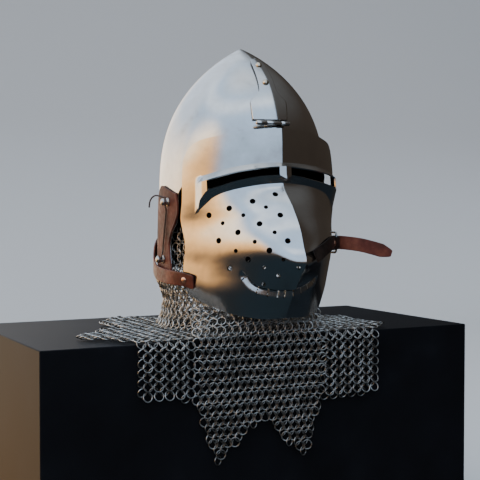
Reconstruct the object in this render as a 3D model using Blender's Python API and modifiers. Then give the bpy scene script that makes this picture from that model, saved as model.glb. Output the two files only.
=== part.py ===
"""Pig-faced bascinet with a mail aventail, resting on a plain display plinth.

Metres, +Z up. The wearer faces -Y, and the wearer's right hand is at -X.
Every part is drawn in the seat frame, whose zero is the middle of the plinth's
top face in X, level with that face, and 150 mm behind its front edge. The seat
empty carries that frame to its place, so that the origin is at the middle of
the whole object's footprint, on the ground.
"""

import math

import bmesh
import bpy
import numpy as np
from mathutils import Matrix, Vector

# ---- Driving dimensions ----------------------------------------------------
PLINTH = (0.600, 0.300, 0.300)          # width, depth, height
PLINTH_EDGE = 0.0012                    # small round on the plinth's edges
SEAT_SHIFT = 0.0405                     # moves the seat back, to centre the footprint

SKULL_SIDE = (0.1070, 2.80)             # half width at the brow, and how late it draws in
SKULL_FRONT = (0.0925, 3.70)            # the same from the middle to the forehead
SKULL_BACK = (0.1135, 2.70)             # and from the middle to the nape
RISE_END = 0.89                         # exponent that sets how sharp the point is
SKULL_ROUND = 2.2                       # exponent of its level sections
SKULL_Y = -0.0675                       # middle of the sections at the brow
APEX_Y = -0.0568                        # where the point stands
APEX_Z = 0.368
BROW_Z = 0.170                          # the walls are upright below this
KEEL = 0.006                            # height of the forehead's crease
KEEL_SPREAD = 0.30                      # radians in which it dies away
RIM_Z = 0.080                           # the skull's lower rim
STEEL = 0.0018                          # plate thickness
GAP = 0.0004                            # clearance between touching parts

MAIL = 0.0030                           # thickness that the mail takes up
LEATHER = 0.0022                        # thickness of the band, the strap and the tab

# Level sections of the visor, from its top down: height, how far forward the
# ridge stands, half width, where the widest point is, how sharp the ridge is.
VISOR_SECTIONS = (
    # z,     ridge y,  half w, widest y, sharpness
    (0.2650, -0.1690, 0.1110, -0.0630, 0.30),
    (0.2400, -0.1710, 0.1165, -0.0630, 0.30),
    (0.2150, -0.1715, 0.1205, -0.0640, 0.32),
    (0.1900, -0.1735, 0.1220, -0.0660, 0.40),
    (0.1640, -0.1941, 0.1220, -0.0680, 0.72),
    (0.1350, -0.2144, 0.1215, -0.0680, 1.00),
    (0.1140, -0.2235, 0.1200, -0.0680, 1.00),
    (0.0965, -0.2310, 0.1170, -0.0680, 1.00),
    (0.0800, -0.2210, 0.1135, -0.0680, 0.90),
    (0.0580, -0.2070, 0.1033, -0.0680, 0.52),
    (0.0400, -0.1960, 0.0942, -0.0680, 0.28),
    (0.0230, -0.1870, 0.0865, -0.0660, 0.12),
)
OVAL_POWER = 2.3                        # exponent of the visor's smooth sections
ARCH_POWER = 0.56                       # exponent of its sharp-nosed ones
FULLNESS = 2.6                          # how far the snout's flanks swell beside its ridge
SWELL_END = 0.82                        # sine of the angle at which that swelling ends

# Lines across the visor, as heights at degrees from its ridge. The wearer's right is
# negative; the lines given only from 0 are the same on both sides.
TOP_EDGE = ((0, 0.2575), (20, 0.2550), (40, 0.2475), (52, 0.2425), (60, 0.2340), (64.5, 0.2180))
SLIT_UPPER = ((-64.5, 0.1810), (-50, 0.1900), (-44.2, 0.1937), (-36.4, 0.1987), (-25.6, 0.2046),
              (-12.4, 0.2088), (-4.1, 0.2104), (0, 0.2107), (3.9, 0.2103), (11.5, 0.2089),
              (19.1, 0.2073), (28.8, 0.2049), (39.1, 0.2014), (47.6, 0.1975), (54, 0.1920),
              (64.5, 0.1820))
SLIT_LOWER = ((-64.5, 0.1480), (-56, 0.1540), (-50.6, 0.1600), (-49.4, 0.1680), (-47.2, 0.1740),
              (-44.2, 0.1808), (-36.5, 0.1863), (-25.7, 0.1936), (-12.4, 0.1985), (-5.1, 0.1997),
              (0, 0.2003), (4.9, 0.1996), (11.5, 0.1977), (19, 0.1947), (26.6, 0.1919),
              (36.8, 0.1884), (45.3, 0.1850), (48.5, 0.1790), (50.6, 0.1690), (52.8, 0.1600),
              (57, 0.1540), (64.5, 0.1480))
CREASE = ((0, 0.1905), (11, 0.1888), (25, 0.1843), (36, 0.1783), (42, 0.1725), (46, 0.1655),
          (49, 0.1600), (50.5, 0.1570), (56, 0.1480), (64.5, 0.1430))
JAW_EDGE = ((0, 0.0266), (15.5, 0.0257), (33.5, 0.0288), (48.5, 0.0354), (56.5, 0.0430),
            (64.5, 0.0535))
# How far the slits' lips stand out, and how far above a slit its upper lip dies away.
LIP_OUT = ((0, 0.0095), (6, 0.0075), (20, 0.0065), (35, 0.0072), (44, 0.0085), (47, 0.0082),
           (49.5, 0.0052), (51.5, 0.0022), (53.5, 0.0), (64.5, 0.0))
FLARE = ((0, 0.0045), (13, 0.0058), (25, 0.0063), (37, 0.0073), (45, 0.0076), (51, 0.0083),
         (64.5, 0.0083))
# The lower lip dips between the slits: how deep, and in how many degrees it dies away.
NASAL_DIP = (0.0062, 4.2)
SLIT_INNER = 3.6                        # degrees: the slits' inner ends
SLIT_ENDS = (-44.2, 46.3)               # degrees: their outer ends
# The visor's rear edge: degrees from its ridge at each height.
BACK_EDGE = ((0.050, 71.6), (0.080, 65.9), (0.088, 65.0), (0.098, 63.4), (0.108, 62.1),
             (0.1205, 61.5), (0.132, 62.3), (0.150, 63.8), (0.165, 63.2), (0.250, 63.5))
# The snout and chin lean a little to the wearer's right: height, shift.
LEAN = ((0.020, -0.0050), (0.060, -0.0040), (0.0965, -0.0010), (0.130, 0.0))
TIP_Z = 0.0965                          # the snout's point


# ---- Scene and materials ---------------------------------------------------
def clear_scene():
    for old in list(bpy.data.objects):
        bpy.data.objects.remove(old, do_unlink=True)


def new_collection(name):
    made = bpy.data.collections.new(name)
    bpy.context.scene.collection.children.link(made)
    return made


clear_scene()
PARTS = new_collection("pig_faced_bascinet")
CUTTERS = new_collection("cutters")
CUTTERS.hide_render = True
SEAT = bpy.data.objects.new("seat", None)
PARTS.objects.link(SEAT)
SEAT.location = (0.0, SEAT_SHIFT, PLINTH[2])


def finish(name, colour, roughness, metallic):
    """A plain Principled material; the colour is linear red, green and blue."""
    made = bpy.data.materials.new(name)
    made.use_nodes = True
    shader = made.node_tree.nodes["Principled BSDF"]
    shader.inputs["Base Color"].default_value = (*colour, 1.0)
    shader.inputs["Roughness"].default_value = roughness
    shader.inputs["Metallic"].default_value = metallic
    made.diffuse_color = (*colour, 1.0)
    return made


POLISHED_STEEL = finish("polished_steel", (0.60, 0.60, 0.60), 0.18, 1.0)
WIRE_STEEL = finish("galvanised_wire", (0.50, 0.49, 0.46), 0.35, 1.0)
COPPER = finish("copper", (0.72, 0.40, 0.26), 0.35, 1.0)
LEATHER_BROWN = finish("harness_leather", (0.22, 0.075, 0.045), 0.55, 0.0)
LEATHER_DARK = finish("strap_leather", (0.13, 0.040, 0.026), 0.50, 0.0)
CORD_DARK = finish("waxed_cord", (0.035, 0.018, 0.014), 0.60, 0.0)
PLINTH_BLACK = finish("matt_black_board", (0.012, 0.013, 0.016), 0.60, 0.0)


# ---- Small helpers ---------------------------------------------------------
def through(table, x, column=1):
    """The value at x of a smooth curve through the rows of a table, never overshooting one."""
    rows = sorted(table)
    t = np.array([row[0] for row in rows], float)
    v = np.array([row[column] for row in rows], float)
    step = np.diff(v) / np.diff(t)
    slope = np.concatenate([step[:1], np.zeros(len(v) - 2), step[-1:]])
    same_way = step[1:] * step[:-1] > 0
    both = step[1:] + step[:-1]
    slope[1:-1] = np.where(same_way, 2 * step[1:] * step[:-1] / np.where(both == 0, 1, both), 0)
    x = np.clip(x, t[0], t[-1])
    i = np.clip(np.searchsorted(t, x) - 1, 0, len(t) - 2)
    h = t[i + 1] - t[i]
    s = (x - t[i]) / h
    return (v[i] * (1 + 2 * s) * (1 - s) ** 2 + slope[i] * h * s * (1 - s) ** 2
            + v[i + 1] * s * s * (3 - 2 * s) - slope[i + 1] * h * s * s * (1 - s))


def stacked(x, y, z):
    return np.stack(np.broadcast_arrays(x, y, z), axis=-1)


def signed_power(value, power):
    return np.sign(value) * np.abs(value) ** power


SHARP_ANGLE = 32.0                      # degrees: sharper edges than this are shown sharp


def add_part(name, mesh, material, collection=PARTS):
    """Links a mesh as one named part in the seat frame."""
    part = bpy.data.objects.new(name, mesh)
    collection.objects.link(part)
    part.parent = SEAT
    if material:
        mesh.materials.append(material)
        mesh.shade_smooth()
        mesh.set_sharp_from_angle(angle=math.radians(SHARP_ANGLE))
    return part


def mesh_from(name, points, faces):
    mesh = bpy.data.meshes.new(name)
    mesh.from_pydata([tuple(map(float, p)) for p in points], [], faces)
    mesh.update()
    return mesh


def grid_faces(rows, columns, closed=False, left_out=()):
    """Quads of a grid whose rows run down and whose columns run to +X, facing out."""
    faces = []
    for r in range(rows - 1):
        for c in range(columns if closed else columns - 1):
            if (r, c) in left_out:
                continue
            d = (c + 1) % columns
            faces.append((r * columns + c, (r + 1) * columns + c,
                          (r + 1) * columns + d, r * columns + d))
    return faces


def sheet_part(name, grid, material, thickness, closed=False, left_out=(), inward=True):
    """A grid of points as a sheet of the given thickness, built inward of its surface."""
    rows, columns = grid.shape[:2]
    mesh = mesh_from(name, grid.reshape(-1, 3), grid_faces(rows, columns, closed, left_out))
    part = add_part(name, mesh, material)
    wall = part.modifiers.new("wall", "SOLIDIFY")
    wall.thickness = thickness
    wall.offset = -1.0 if inward else 1.0
    wall.use_even_offset = True
    wall.use_rim = True
    return part


def solid_loft(name, grid, material, collection=PARTS):
    """Rings of points, each ring closed, joined along their length and capped flat."""
    rings, sides = grid.shape[:2]
    faces = grid_faces(rings, sides, closed=True)
    faces.append(tuple(range(sides)))
    faces.append(tuple((rings - 1) * sides + s for s in reversed(range(sides))))
    mesh = mesh_from(name, grid.reshape(-1, 3), faces)
    shape = bmesh.new()
    shape.from_mesh(mesh)
    bmesh.ops.recalc_face_normals(shape, faces=shape.faces)
    shape.to_mesh(mesh)
    shape.free()
    return add_part(name, mesh, material, collection)


def plate_from_outline(name, outline, holes, thickness, material, collection=PARTS):
    """A flat outline, with holes, given thickness by a 2D curve's extrude."""
    curve = bpy.data.curves.new(name, "CURVE")
    curve.dimensions = "2D"
    curve.fill_mode = "BOTH"
    curve.extrude = thickness / 2
    for loop in (outline, *holes):
        spline = curve.splines.new("POLY")
        spline.points.add(len(loop) - 1)
        for point, (x, y) in zip(spline.points, loop):
            point.co = (x, y, 0.0, 1.0)
        spline.use_cyclic_u = True
    return curve_to_mesh(name, curve, material, collection)


def curve_to_mesh(name, curve, material, collection=PARTS):
    """Turns a curve into a closed mesh part with its caps welded on."""
    holder = bpy.data.objects.new(name + "_curve", curve)
    collection.objects.link(holder)
    graph = bpy.context.evaluated_depsgraph_get()
    mesh = bpy.data.meshes.new_from_object(holder.evaluated_get(graph))
    bpy.data.objects.remove(holder)
    shape = bmesh.new()
    shape.from_mesh(mesh)
    bmesh.ops.remove_doubles(shape, verts=shape.verts, dist=1e-6)
    bmesh.ops.recalc_face_normals(shape, faces=shape.faces)
    shape.to_mesh(mesh)
    shape.free()
    mesh.name = name
    mesh.materials.clear()
    return add_part(name, mesh, material, collection)


def tube_part(name, points, radius, material, sides_level=1):
    """A round cord or wire along the points, with filled ends."""
    curve = bpy.data.curves.new(name, "CURVE")
    curve.dimensions = "3D"
    curve.bevel_depth = radius
    curve.bevel_resolution = sides_level
    curve.use_fill_caps = True
    spline = curve.splines.new("POLY")
    spline.points.add(len(points) - 1)
    for point, (x, y, z) in zip(spline.points, points):
        point.co = (x, y, z, 1.0)
    return curve_to_mesh(name, curve, material)


def cylinder_mesh(name, radius, length, sides):
    """A cylinder along Z about the origin."""
    mesh = bpy.data.meshes.new(name)
    shape = bmesh.new()
    bmesh.ops.create_cone(shape, cap_ends=True, segments=sides, radius1=radius,
                          radius2=radius, depth=length)
    shape.to_mesh(mesh)
    shape.free()
    return mesh


def box_mesh(name, size):
    """A box about the origin."""
    mesh = bpy.data.meshes.new(name)
    shape = bmesh.new()
    bmesh.ops.create_cube(shape, size=1.0, matrix=Matrix.Diagonal((*size, 1.0)))
    shape.to_mesh(mesh)
    shape.free()
    return mesh


def turned_part(name, profile, steps, material):
    """A closed profile of radii and heights, turned once round Z."""
    mesh = bpy.data.meshes.new(name)
    shape = bmesh.new()
    closed = profile[0] == profile[-1]
    verts = [shape.verts.new((r, 0.0, z)) for r, z in (profile[:-1] if closed else profile)]
    for a, b in zip(verts, verts[1:] + (verts[:1] if closed else [])):
        shape.edges.new((a, b))
    shape.to_mesh(mesh)
    shape.free()
    part = add_part(name, mesh, material)
    turn = part.modifiers.new("turn", "SCREW")
    turn.steps = turn.render_steps = steps
    turn.use_merge_vertices = True
    turn.merge_threshold = 0.0001
    return part


def aim(part, place, direction):
    """Puts a part at a place with its Z along a direction."""
    part.location = tuple(place)
    part.rotation_euler = Vector(direction).to_track_quat("Z", "Y").to_euler()


def cut(part, cutter):
    """Takes the cutter out of the part."""
    cutter.display_type = "WIRE"
    cutter.hide_render = True
    took = part.modifiers.new("cut_" + cutter.name, "BOOLEAN")
    took.operation = "DIFFERENCE"
    took.solver = "MANIFOLD"
    took.object = cutter


def joined_cutter(name, pieces):
    """Joins meshes, each with its own matrix, into one cutter object."""
    shape = bmesh.new()
    for mesh, matrix in pieces:
        lump = bmesh.new()
        lump.from_mesh(mesh)
        lump.transform(matrix)
        scratch = bpy.data.meshes.new("scratch")
        lump.to_mesh(scratch)
        lump.free()
        shape.from_mesh(scratch)
        bpy.data.meshes.remove(scratch)
    mesh = bpy.data.meshes.new(name)
    shape.to_mesh(mesh)
    shape.free()
    return add_part(name, mesh, None, CUTTERS)


# ---- Surfaces of the helmet ------------------------------------------------
def skull_point(angle, z, out=0.0):
    """The skull's outer face: a pointed oval. Level sections are superellipses whose front,
    back and sides each shrink towards the point as (1 - rise^p)^q, with a crease down the
    forehead; out stands off it."""
    rise = np.clip((z - BROW_Z) / (APEX_Z - BROW_Z), 0, 1)
    centre = SKULL_Y + (APEX_Y - SKULL_Y) * rise ** 2
    side, front, back = (size * (1 - rise ** late) ** RISE_END
                         for size, late in (SKULL_SIDE, SKULL_FRONT, SKULL_BACK))
    power = 2 / SKULL_ROUND
    crease = KEEL * np.exp(-np.abs(angle) / KEEL_SPREAD) * np.minimum(1, 15 * side)
    reach = np.where(np.cos(angle) > 0, front, back) + out
    x = (side + out) * signed_power(np.sin(angle), power)
    y = centre - reach * signed_power(np.cos(angle), power) - crease
    return stacked(x, y, z)


def visor_point(degrees, z, out=0.0):
    """The visor's outer face: level sections that run from the ridge round to the cheek,
    between a smooth oval and a sharp-nosed arch whose flanks swell a little, with the slits'
    turned-out lips added."""
    angle = np.radians(degrees)
    side = np.abs(degrees)
    ridge, width, widest, sharp = (through(VISOR_SECTIONS, z, c) for c in (1, 2, 3, 4))
    s = np.abs(np.sin(angle))
    swell = FULLNESS * sharp * (s * np.clip(SWELL_END - s, 0, None)) ** 2
    arch = (1 - s) ** ARCH_POWER + swell
    oval = (1 - s ** OVAL_POWER) ** (1 / OVAL_POWER)
    x = width * np.sin(angle) + through(LEAN, z)
    y = widest + (ridge - widest) * ((1 - sharp) * oval + sharp * arch)
    upper, lower = (through(t, degrees) for t in (SLIT_UPPER, SLIT_LOWER))
    crease, flare = (through(t, side) for t in (CREASE, FLARE))
    depth, spread = NASAL_DIP
    lower = lower - depth * np.clip(1 - side / spread, 0, 1)
    above = np.clip((upper + flare - z) / flare, 0, 1)
    below = np.clip((z - crease) / np.maximum(lower - crease, 1e-4), 0, 1)
    lip = through(LIP_OUT, side) * np.minimum(above, below) + out
    return stacked(x + lip * np.sin(angle), y - lip * np.cos(angle), z)


def visor_normal(degrees, z):
    step = 0.2
    across = visor_point(degrees + step, z) - visor_point(degrees - step, z)
    down = visor_point(degrees, z - 0.0005) - visor_point(degrees, z + 0.0005)
    normal = np.cross(down, across)
    return normal / np.linalg.norm(normal, axis=-1, keepdims=True)


# ---- The plinth ------------------------------------------------------------
def make_plinth():
    width, depth, height = PLINTH
    bpy.ops.mesh.primitive_cube_add(size=1)
    plinth = bpy.context.object
    plinth.name = plinth.data.name = "display_plinth"
    plinth.scale = PLINTH
    bpy.ops.object.transform_apply(scale=True)
    for holder in list(plinth.users_collection):
        holder.objects.unlink(plinth)
    PARTS.objects.link(plinth)
    plinth.parent = SEAT
    plinth.location = (0.0, 0.0, -height / 2)
    edge = plinth.modifiers.new("edge", "BEVEL")
    edge.width = PLINTH_EDGE
    edge.segments = 1
    plinth.data.materials.append(PLINTH_BLACK)


# ---- The skull and its hinge -----------------------------------------------
SKULL_COLUMNS = 40
SKULL_ROWS = 12
# The face opening as seen from the side: forward, up.
OPENING = ((-0.0758, 0.0600), (-0.0758, 0.0800), (-0.0719, 0.1130), (-0.0748, 0.1250),
           (-0.0881, 0.1420), (-0.0906, 0.1540), (-0.0922, 0.1760), (-0.1009, 0.1880),
           (-0.1139, 0.1990), (-0.1349, 0.2080), (-0.1528, 0.2120), (-0.1900, 0.2140),
           (-0.2600, 0.2140), (-0.2600, 0.0600))


def side_prism(name, outline, half_width):
    """An outline drawn in Y and Z, extruded across X, for cutting."""
    prism = plate_from_outline(name, outline, (), 2 * half_width, None, CUTTERS)
    prism.matrix_basis = Matrix(((0, 0, 1), (1, 0, 0), (0, 1, 0))).to_4x4()
    return prism


def make_skull():
    """A raised shell closed at its point, open below and over the face."""
    angles = np.radians(np.arange(SKULL_COLUMNS) * 360.0 / SKULL_COLUMNS)
    drop = np.linspace(0.06, 1, SKULL_ROWS) ** 1.35
    heights = APEX_Z - (APEX_Z - RIM_Z) * drop
    grid = skull_point(angles[None, :], heights[:, None])
    points = np.concatenate([grid.reshape(-1, 3), skull_point(0.0, APEX_Z)[None, :]])
    faces = grid_faces(SKULL_ROWS, SKULL_COLUMNS, closed=True)
    peak = len(points) - 1
    faces += [(peak, c, (c + 1) % SKULL_COLUMNS) for c in range(SKULL_COLUMNS)]
    skull = add_part("skull", mesh_from("skull", points, faces), POLISHED_STEEL)
    wall = skull.modifiers.new("wall", "SOLIDIFY")
    wall.thickness = STEEL
    wall.offset = -1.0
    wall.use_even_offset = True
    cut(skull, side_prism("face_opening", OPENING, 0.2))


HINGE_Z = 0.2635
HINGE_X = -0.009                        # the hinge sits a little to the wearer's right
HINGE_R = 0.0029
HINGE_PIN_R = 0.0013
PIN_PLAY = 0.0003                       # clearance round the pin and between the knuckles
PIN_PROUD = 0.0005                      # how far the pin stands past the knuckles
HINGE_CLEAR = 0.0012                    # how far the knuckles clear the forehead's crease
KNUCKLES = (-0.0225, -0.0085, 0.0115, 0.0225)      # where the barrels start and end
# The fishtail plate on the forehead: height, half width.
FISHTAIL = ((0.2672, 0.0222), (0.2800, 0.0232), (0.2900, 0.0235), (0.2985, 0.0155),
            (0.3050, 0.0108), (0.3280, 0.0095), (0.3420, 0.0085), (0.3490, 0.0050))
FISHTAIL_THICK = 0.0014
PLATE_OUT = 0.0028                      # the plate's outer face over the skull
PLATE_LEAN = 0.123                      # how the plate follows the point as it rises
RIVET_PLACES = ((-0.0008, 0.3385), (-0.0040, 0.3145))      # right, up
HINGE_RIVET = (0.0042, 0.0034)          # head's radius, height
SMALL_RIVET = (0.0040, 0.0021)
RIVET_STAND = 0.0010                    # how far a head clears the plate's flat facets


def on_skull(x, z, out):
    """The point of the skull's face at a given x and height, found by a few corrections."""
    angle = np.zeros_like(np.asarray(x, float) + z)
    for _ in range(12):
        here = skull_point(angle, z, out)[..., 0]
        ahead = skull_point(angle + 0.01, z, out)[..., 0]
        angle = angle + 0.01 * (x - here) / np.maximum(ahead - here, 1e-5) * 0.8
    return skull_point(angle, z, out)


def make_hinge_plate():
    """A thin fishtail plate that follows the forehead."""
    z = np.array([row[0] for row in reversed(FISHTAIL)])
    half = np.array([row[1] for row in reversed(FISHTAIL)])
    middle = HINGE_X + PLATE_LEAN * (z - HINGE_Z)
    left, right = middle - half, middle + half
    share = np.array([0.0, 0.35, 0.7])
    x = np.concatenate([left[:, None] * (1 - share), 0 * left[:, None],
                        right[:, None] * (1 - share[::-1])], axis=1)
    grid = on_skull(x, np.broadcast_to(z[:, None], x.shape), PLATE_OUT)
    sheet_part("hinge_plate", grid, POLISHED_STEEL, FISHTAIL_THICK)


def hinge_line():
    """The pin's middle: just clear of the forehead's crease."""
    front = skull_point(np.array([0.0]), np.array([HINGE_Z]))[0, 1]
    return np.array([HINGE_X, front - HINGE_R - HINGE_CLEAR, HINGE_Z])


def barrel(name, start, end):
    """One knuckle: a short tube round the pin."""
    bore = HINGE_PIN_R + PIN_PLAY
    loop = ((HINGE_R, end), (HINGE_R, start), (bore, start), (bore, end), (HINGE_R, end))
    part = turned_part(name, loop, 14, POLISHED_STEEL)
    aim(part, hinge_line(), (1, 0, 0))


def make_hinge():
    a, b, c, d = KNUCKLES
    barrel("hinge_knuckle_right", a, b - PIN_PLAY)
    barrel("hinge_knuckle_middle", b, c)
    barrel("hinge_knuckle_left", c + PIN_PLAY, d)
    rod = cylinder_mesh("hinge_pin", HINGE_PIN_R, d - a + 2 * PIN_PROUD, 10)
    aim(add_part("hinge_pin", rod, POLISHED_STEEL), hinge_line(), (1, 0, 0))


def domed_rivet(name, place, direction, size, material):
    """A low round head: a turned profile that stands on its flat."""
    radius, height = size
    profile = ((0.0, height), (0.55 * radius, 0.88 * height), (0.9 * radius, 0.5 * height),
               (radius, 0.0), (0.0, 0.0))
    aim(turned_part(name, profile, 10, material), place, direction)


def make_hinge_rivets():
    for number, (x, z) in enumerate(RIVET_PLACES, 1):
        here = on_skull(np.float64(x), np.float64(z), 0.0)
        above = on_skull(np.float64(x), np.float64(z + 0.002), 0.0)
        slope = above - here
        direction = np.array([0.0, -slope[2], slope[1]])
        direction = direction / np.linalg.norm(direction)
        base = here + direction * (PLATE_OUT + RIVET_STAND)
        domed_rivet(f"hinge_rivet_{number}", base, direction, HINGE_RIVET, COPPER)


# ---- The visor -------------------------------------------------------------
# Degrees from the ridge of its columns of points.
VISOR_COLUMNS = (-64.5, -60.5, -57, -54, -51, -48, -44.2, -40, -34, -28, -22, -16, -10, -3.6, 0,
                 3.6, 10, 16, 22, 28, 34, 40, 46.3, 49, 51.5, 54, 57, 60.5, 64.5)
# Rows of breathing holes on the wearer's right. Each row: how many, the hole's radius,
# degrees from the ridge and height of its rear hole, then those of its front hole. The
# holes spread out a little towards the snout.
HOLE_SPREAD = 1.13
HOLE_ROWS = (
    (4, 0.0036, 44.9, 0.1510, 6.7, 0.1765),
    (3, 0.0026, 38.1, 0.1416, 14.5, 0.1610),
    (4, 0.0036, 41.4, 0.1206, 8.1, 0.1515),
    (3, 0.0026, 34.0, 0.1088, 13.9, 0.1312),
    (4, 0.0036, 36.9, 0.0877, 7.6, 0.1211),
    (2, 0.0024, 20.4, 0.0895, 11.6, 0.0993),
    (3, 0.0026, 19.3, 0.0692, 3.0, 0.0895),
)
# The mouth: heights of its line at degrees from the ridge, to the wearer's left. The line
# runs on round the cheeks, past the slit's two ends.
MOUTH = ((-60, 0.0950), (-33.5, 0.0883), (-30.3, 0.0839), (-28.3, 0.0786), (-27.1, 0.0745),
         (-25.8, 0.0702), (-20.8, 0.0646), (-16.0, 0.0624), (-9.5, 0.0610), (-3.2, 0.0611),
         (4.0, 0.0633), (10.2, 0.0678), (15.2, 0.0734), (17.9, 0.0768), (60, 0.0855))
MOUTH_ENDS = (-28.5, 17.6)
MOUTH_GAPE = 0.0016                     # width of the slit over the teeth
# Degrees at which the strip below the slit is cut through, which leaves the teeth.
TOOTH_CUTS = (-28.3, -22.2, -16.2, -10.0, -5.7, 0.0, 6.2, 11.3, 15.6)
TOOTH_CUT = 0.0017                      # width of a cut
TOOTH_TALL = 0.0083
TOOTH_IN = 0.0032                       # how far the teeth are bent in at their tops
TOOTH_FADE = 5.0                        # degrees in which that bend dies away at the ends
CHEEK_DEGREE = 0.0023                   # metres to a degree round the snout, at the mouth
FOLD = 0.0010                           # half the height of the fold at the teeth's tops
CHIN_CLEAR = 0.0060                     # least height of the strip under the teeth
TOOL_REACH = 0.0080                     # how far a cutter goes to each side of the plate
TOP_CLEAR = 0.0040                      # the upper lip stops this far below the top edge


def visor_rows(degrees):
    """Heights of the visor's rows of points at each column, from its top down."""
    side = np.abs(degrees)
    top, crease, jaw, flare = (through(t, side) for t in (TOP_EDGE, CREASE, JAW_EDGE, FLARE))
    upper, lower, mouth = (through(t, degrees) for t in (SLIT_UPPER, SLIT_LOWER, MOUTH))
    flare = np.minimum(upper + flare, top - TOP_CLEAR)
    foot = np.maximum(mouth - TOOTH_TALL, jaw + CHIN_CLEAR)
    rows = [top, top + (flare - top) / 3, top + (flare - top) * 2 / 3, flare, upper, lower, crease]
    rows += [crease + (TIP_Z - crease) * part for part in (0.28, 0.55, 0.80)]
    rows += [TIP_Z + 0 * side, mouth + FOLD, mouth - FOLD, foot, (foot + jaw) / 2, jaw]
    return np.stack(rows)


SLIT_ROW = 4                            # the slit lies between this row and the next
TOOTH_ROW = 12                          # the row at the teeth's tops
BACK_START = 50.0                       # degrees: columns past this are stretched to the edge


def to_back_edge(degrees, z):
    """Stretches the outer columns so that the last one lies on the visor's rear edge."""
    side = np.abs(degrees)
    reach = (through(BACK_EDGE, z) - BACK_START) / (VISOR_COLUMNS[-1] - BACK_START)
    return np.sign(degrees) * np.where(side > BACK_START, BACK_START + (side - BACK_START) * reach,
                                       side)


def make_visor():
    """The sheet of rows and columns, its eye slits left open and its teeth bent in, then
    its holes and its mouth cut."""
    degrees = np.array(VISOR_COLUMNS, float)
    heights = visor_rows(degrees)
    turn = to_back_edge(np.broadcast_to(degrees, heights.shape), heights)
    from_ends = np.minimum(degrees - MOUTH_ENDS[0], MOUTH_ENDS[1] + TOOTH_FADE / 2 - degrees)
    bend = np.zeros_like(heights)
    bend[TOOTH_ROW] = -TOOTH_IN * np.clip(from_ends / TOOTH_FADE, 0, 1)
    grid = visor_point(turn, heights, bend)
    middle = 0.5 * (degrees[1:] + degrees[:-1])
    inside = (middle > SLIT_ENDS[0]) & (middle < SLIT_ENDS[1])
    open_columns = np.nonzero((np.abs(middle) > SLIT_INNER) & inside)[0]
    slit = {(SLIT_ROW, int(c)) for c in open_columns}
    visor = sheet_part("visor", grid, POLISHED_STEEL, STEEL, left_out=slit)
    cut(visor, breath_holes())
    cut(visor, mouth_slit())
    cut(visor, tooth_cuts())


def facing(place, out, up=(0, 0, 1)):
    """A matrix whose Z points out and whose Y lies as near up as it can."""
    z = Vector(out).normalized()
    x = Vector(up).cross(z).normalized()
    y = z.cross(x)
    turned = Matrix((x, y, z)).transposed().to_4x4()
    turned.translation = Vector(place)
    return turned


def breath_holes():
    drills = []
    for count, radius, rear, rear_z, front, front_z in HOLE_ROWS:
        drill = cylinder_mesh("drill", radius, 2 * TOOL_REACH, 8)
        for part in np.linspace(0, 1, count):
            degrees = -(rear + (front - rear) * part ** HOLE_SPREAD)
            z = rear_z + (front_z - rear_z) * part
            out = visor_normal(np.array([degrees]), np.array([z]))[0]
            place = visor_point(np.array([degrees]), np.array([z]))[0]
            drills.append((drill, facing(place, out)))
    return joined_cutter("breath_holes", drills)


def mouth_slit():
    """A thin blade that follows the smile."""
    degrees = np.linspace(*MOUTH_ENDS, 15)
    z = through(MOUTH, degrees)
    deep = TOOL_REACH * visor_normal(degrees, z)
    middle = visor_point(degrees, z)
    up = np.array([0.0, 0.0, MOUTH_GAPE / 2])
    ring = [middle + deep + up, middle - deep + up, middle - deep - up, middle + deep - up]
    return solid_loft("mouth_slit", np.stack(ring, axis=1), None, CUTTERS)


def tooth_cuts():
    """Blades square to the smile, each from its line down over a tooth's height."""
    blades = []
    for at in TOOTH_CUTS:
        before, here, after = through(MOUTH, np.array([at - 0.3, at, at + 0.3]))
        slope = np.array([0.6 * CHEEK_DEGREE, after - before])
        slope = slope / np.linalg.norm(slope) * TOOTH_TALL / 2
        degrees, z = np.array([at + slope[1] / CHEEK_DEGREE]), np.array([here - slope[0]])
        place, out = visor_point(degrees, z)[0], visor_normal(degrees, z)[0]
        top = visor_point(np.float64(at), here)
        blade = box_mesh("blade", (TOOTH_CUT, TOOTH_TALL, 2 * TOOL_REACH))
        blades.append((blade, facing(place, out, top - place)))
    return joined_cutter("tooth_cuts", blades)


LEAF_DEGREES = np.linspace(-9.5, 0.3, 5)
LEAF_Z = np.array([0.2560, 0.2480, 0.2400])
LEAF_THICK = 0.0014


def make_hinge_leaf():
    """The visor's half of the hinge, on the inside of its upper band."""
    degrees, z = np.broadcast_arrays(LEAF_DEGREES[None, :], LEAF_Z[:, None])
    grid = visor_point(degrees, z, -STEEL - 1.5 * GAP)
    sheet_part("hinge_leaf", grid, POLISHED_STEEL, LEAF_THICK)


# ---- The leather band, its staples and its cord ----------------------------
BAND_OUT = 2 * GAP + LEATHER            # the leather's outer face over the skull
BAND_FRONT = ((0.0770, 83.0), (0.0850, 83.8), (0.1005, 86.0), (0.1130, 87.0), (0.1274, 83.8),
              (0.1435, 78.1), (0.1541, 75.7), (0.1634, 75.7), (0.1796, 78.1))
BAND_TOP = ((75, 0.1770), (80, 0.1785), (90, 0.1840), (97, 0.1880), (104, 0.1780),
            (113, 0.1280), (122, 0.1150), (180, 0.1150))
BAND_LOW = 0.0775
# The staples, or vervelles: degrees from the face, height. The other side mirrors them.
VERVELLES = ((88.0, 0.1672), (94.5, 0.0940), (138, 0.0915), (159, 0.0915), (180, 0.0915))
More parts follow.
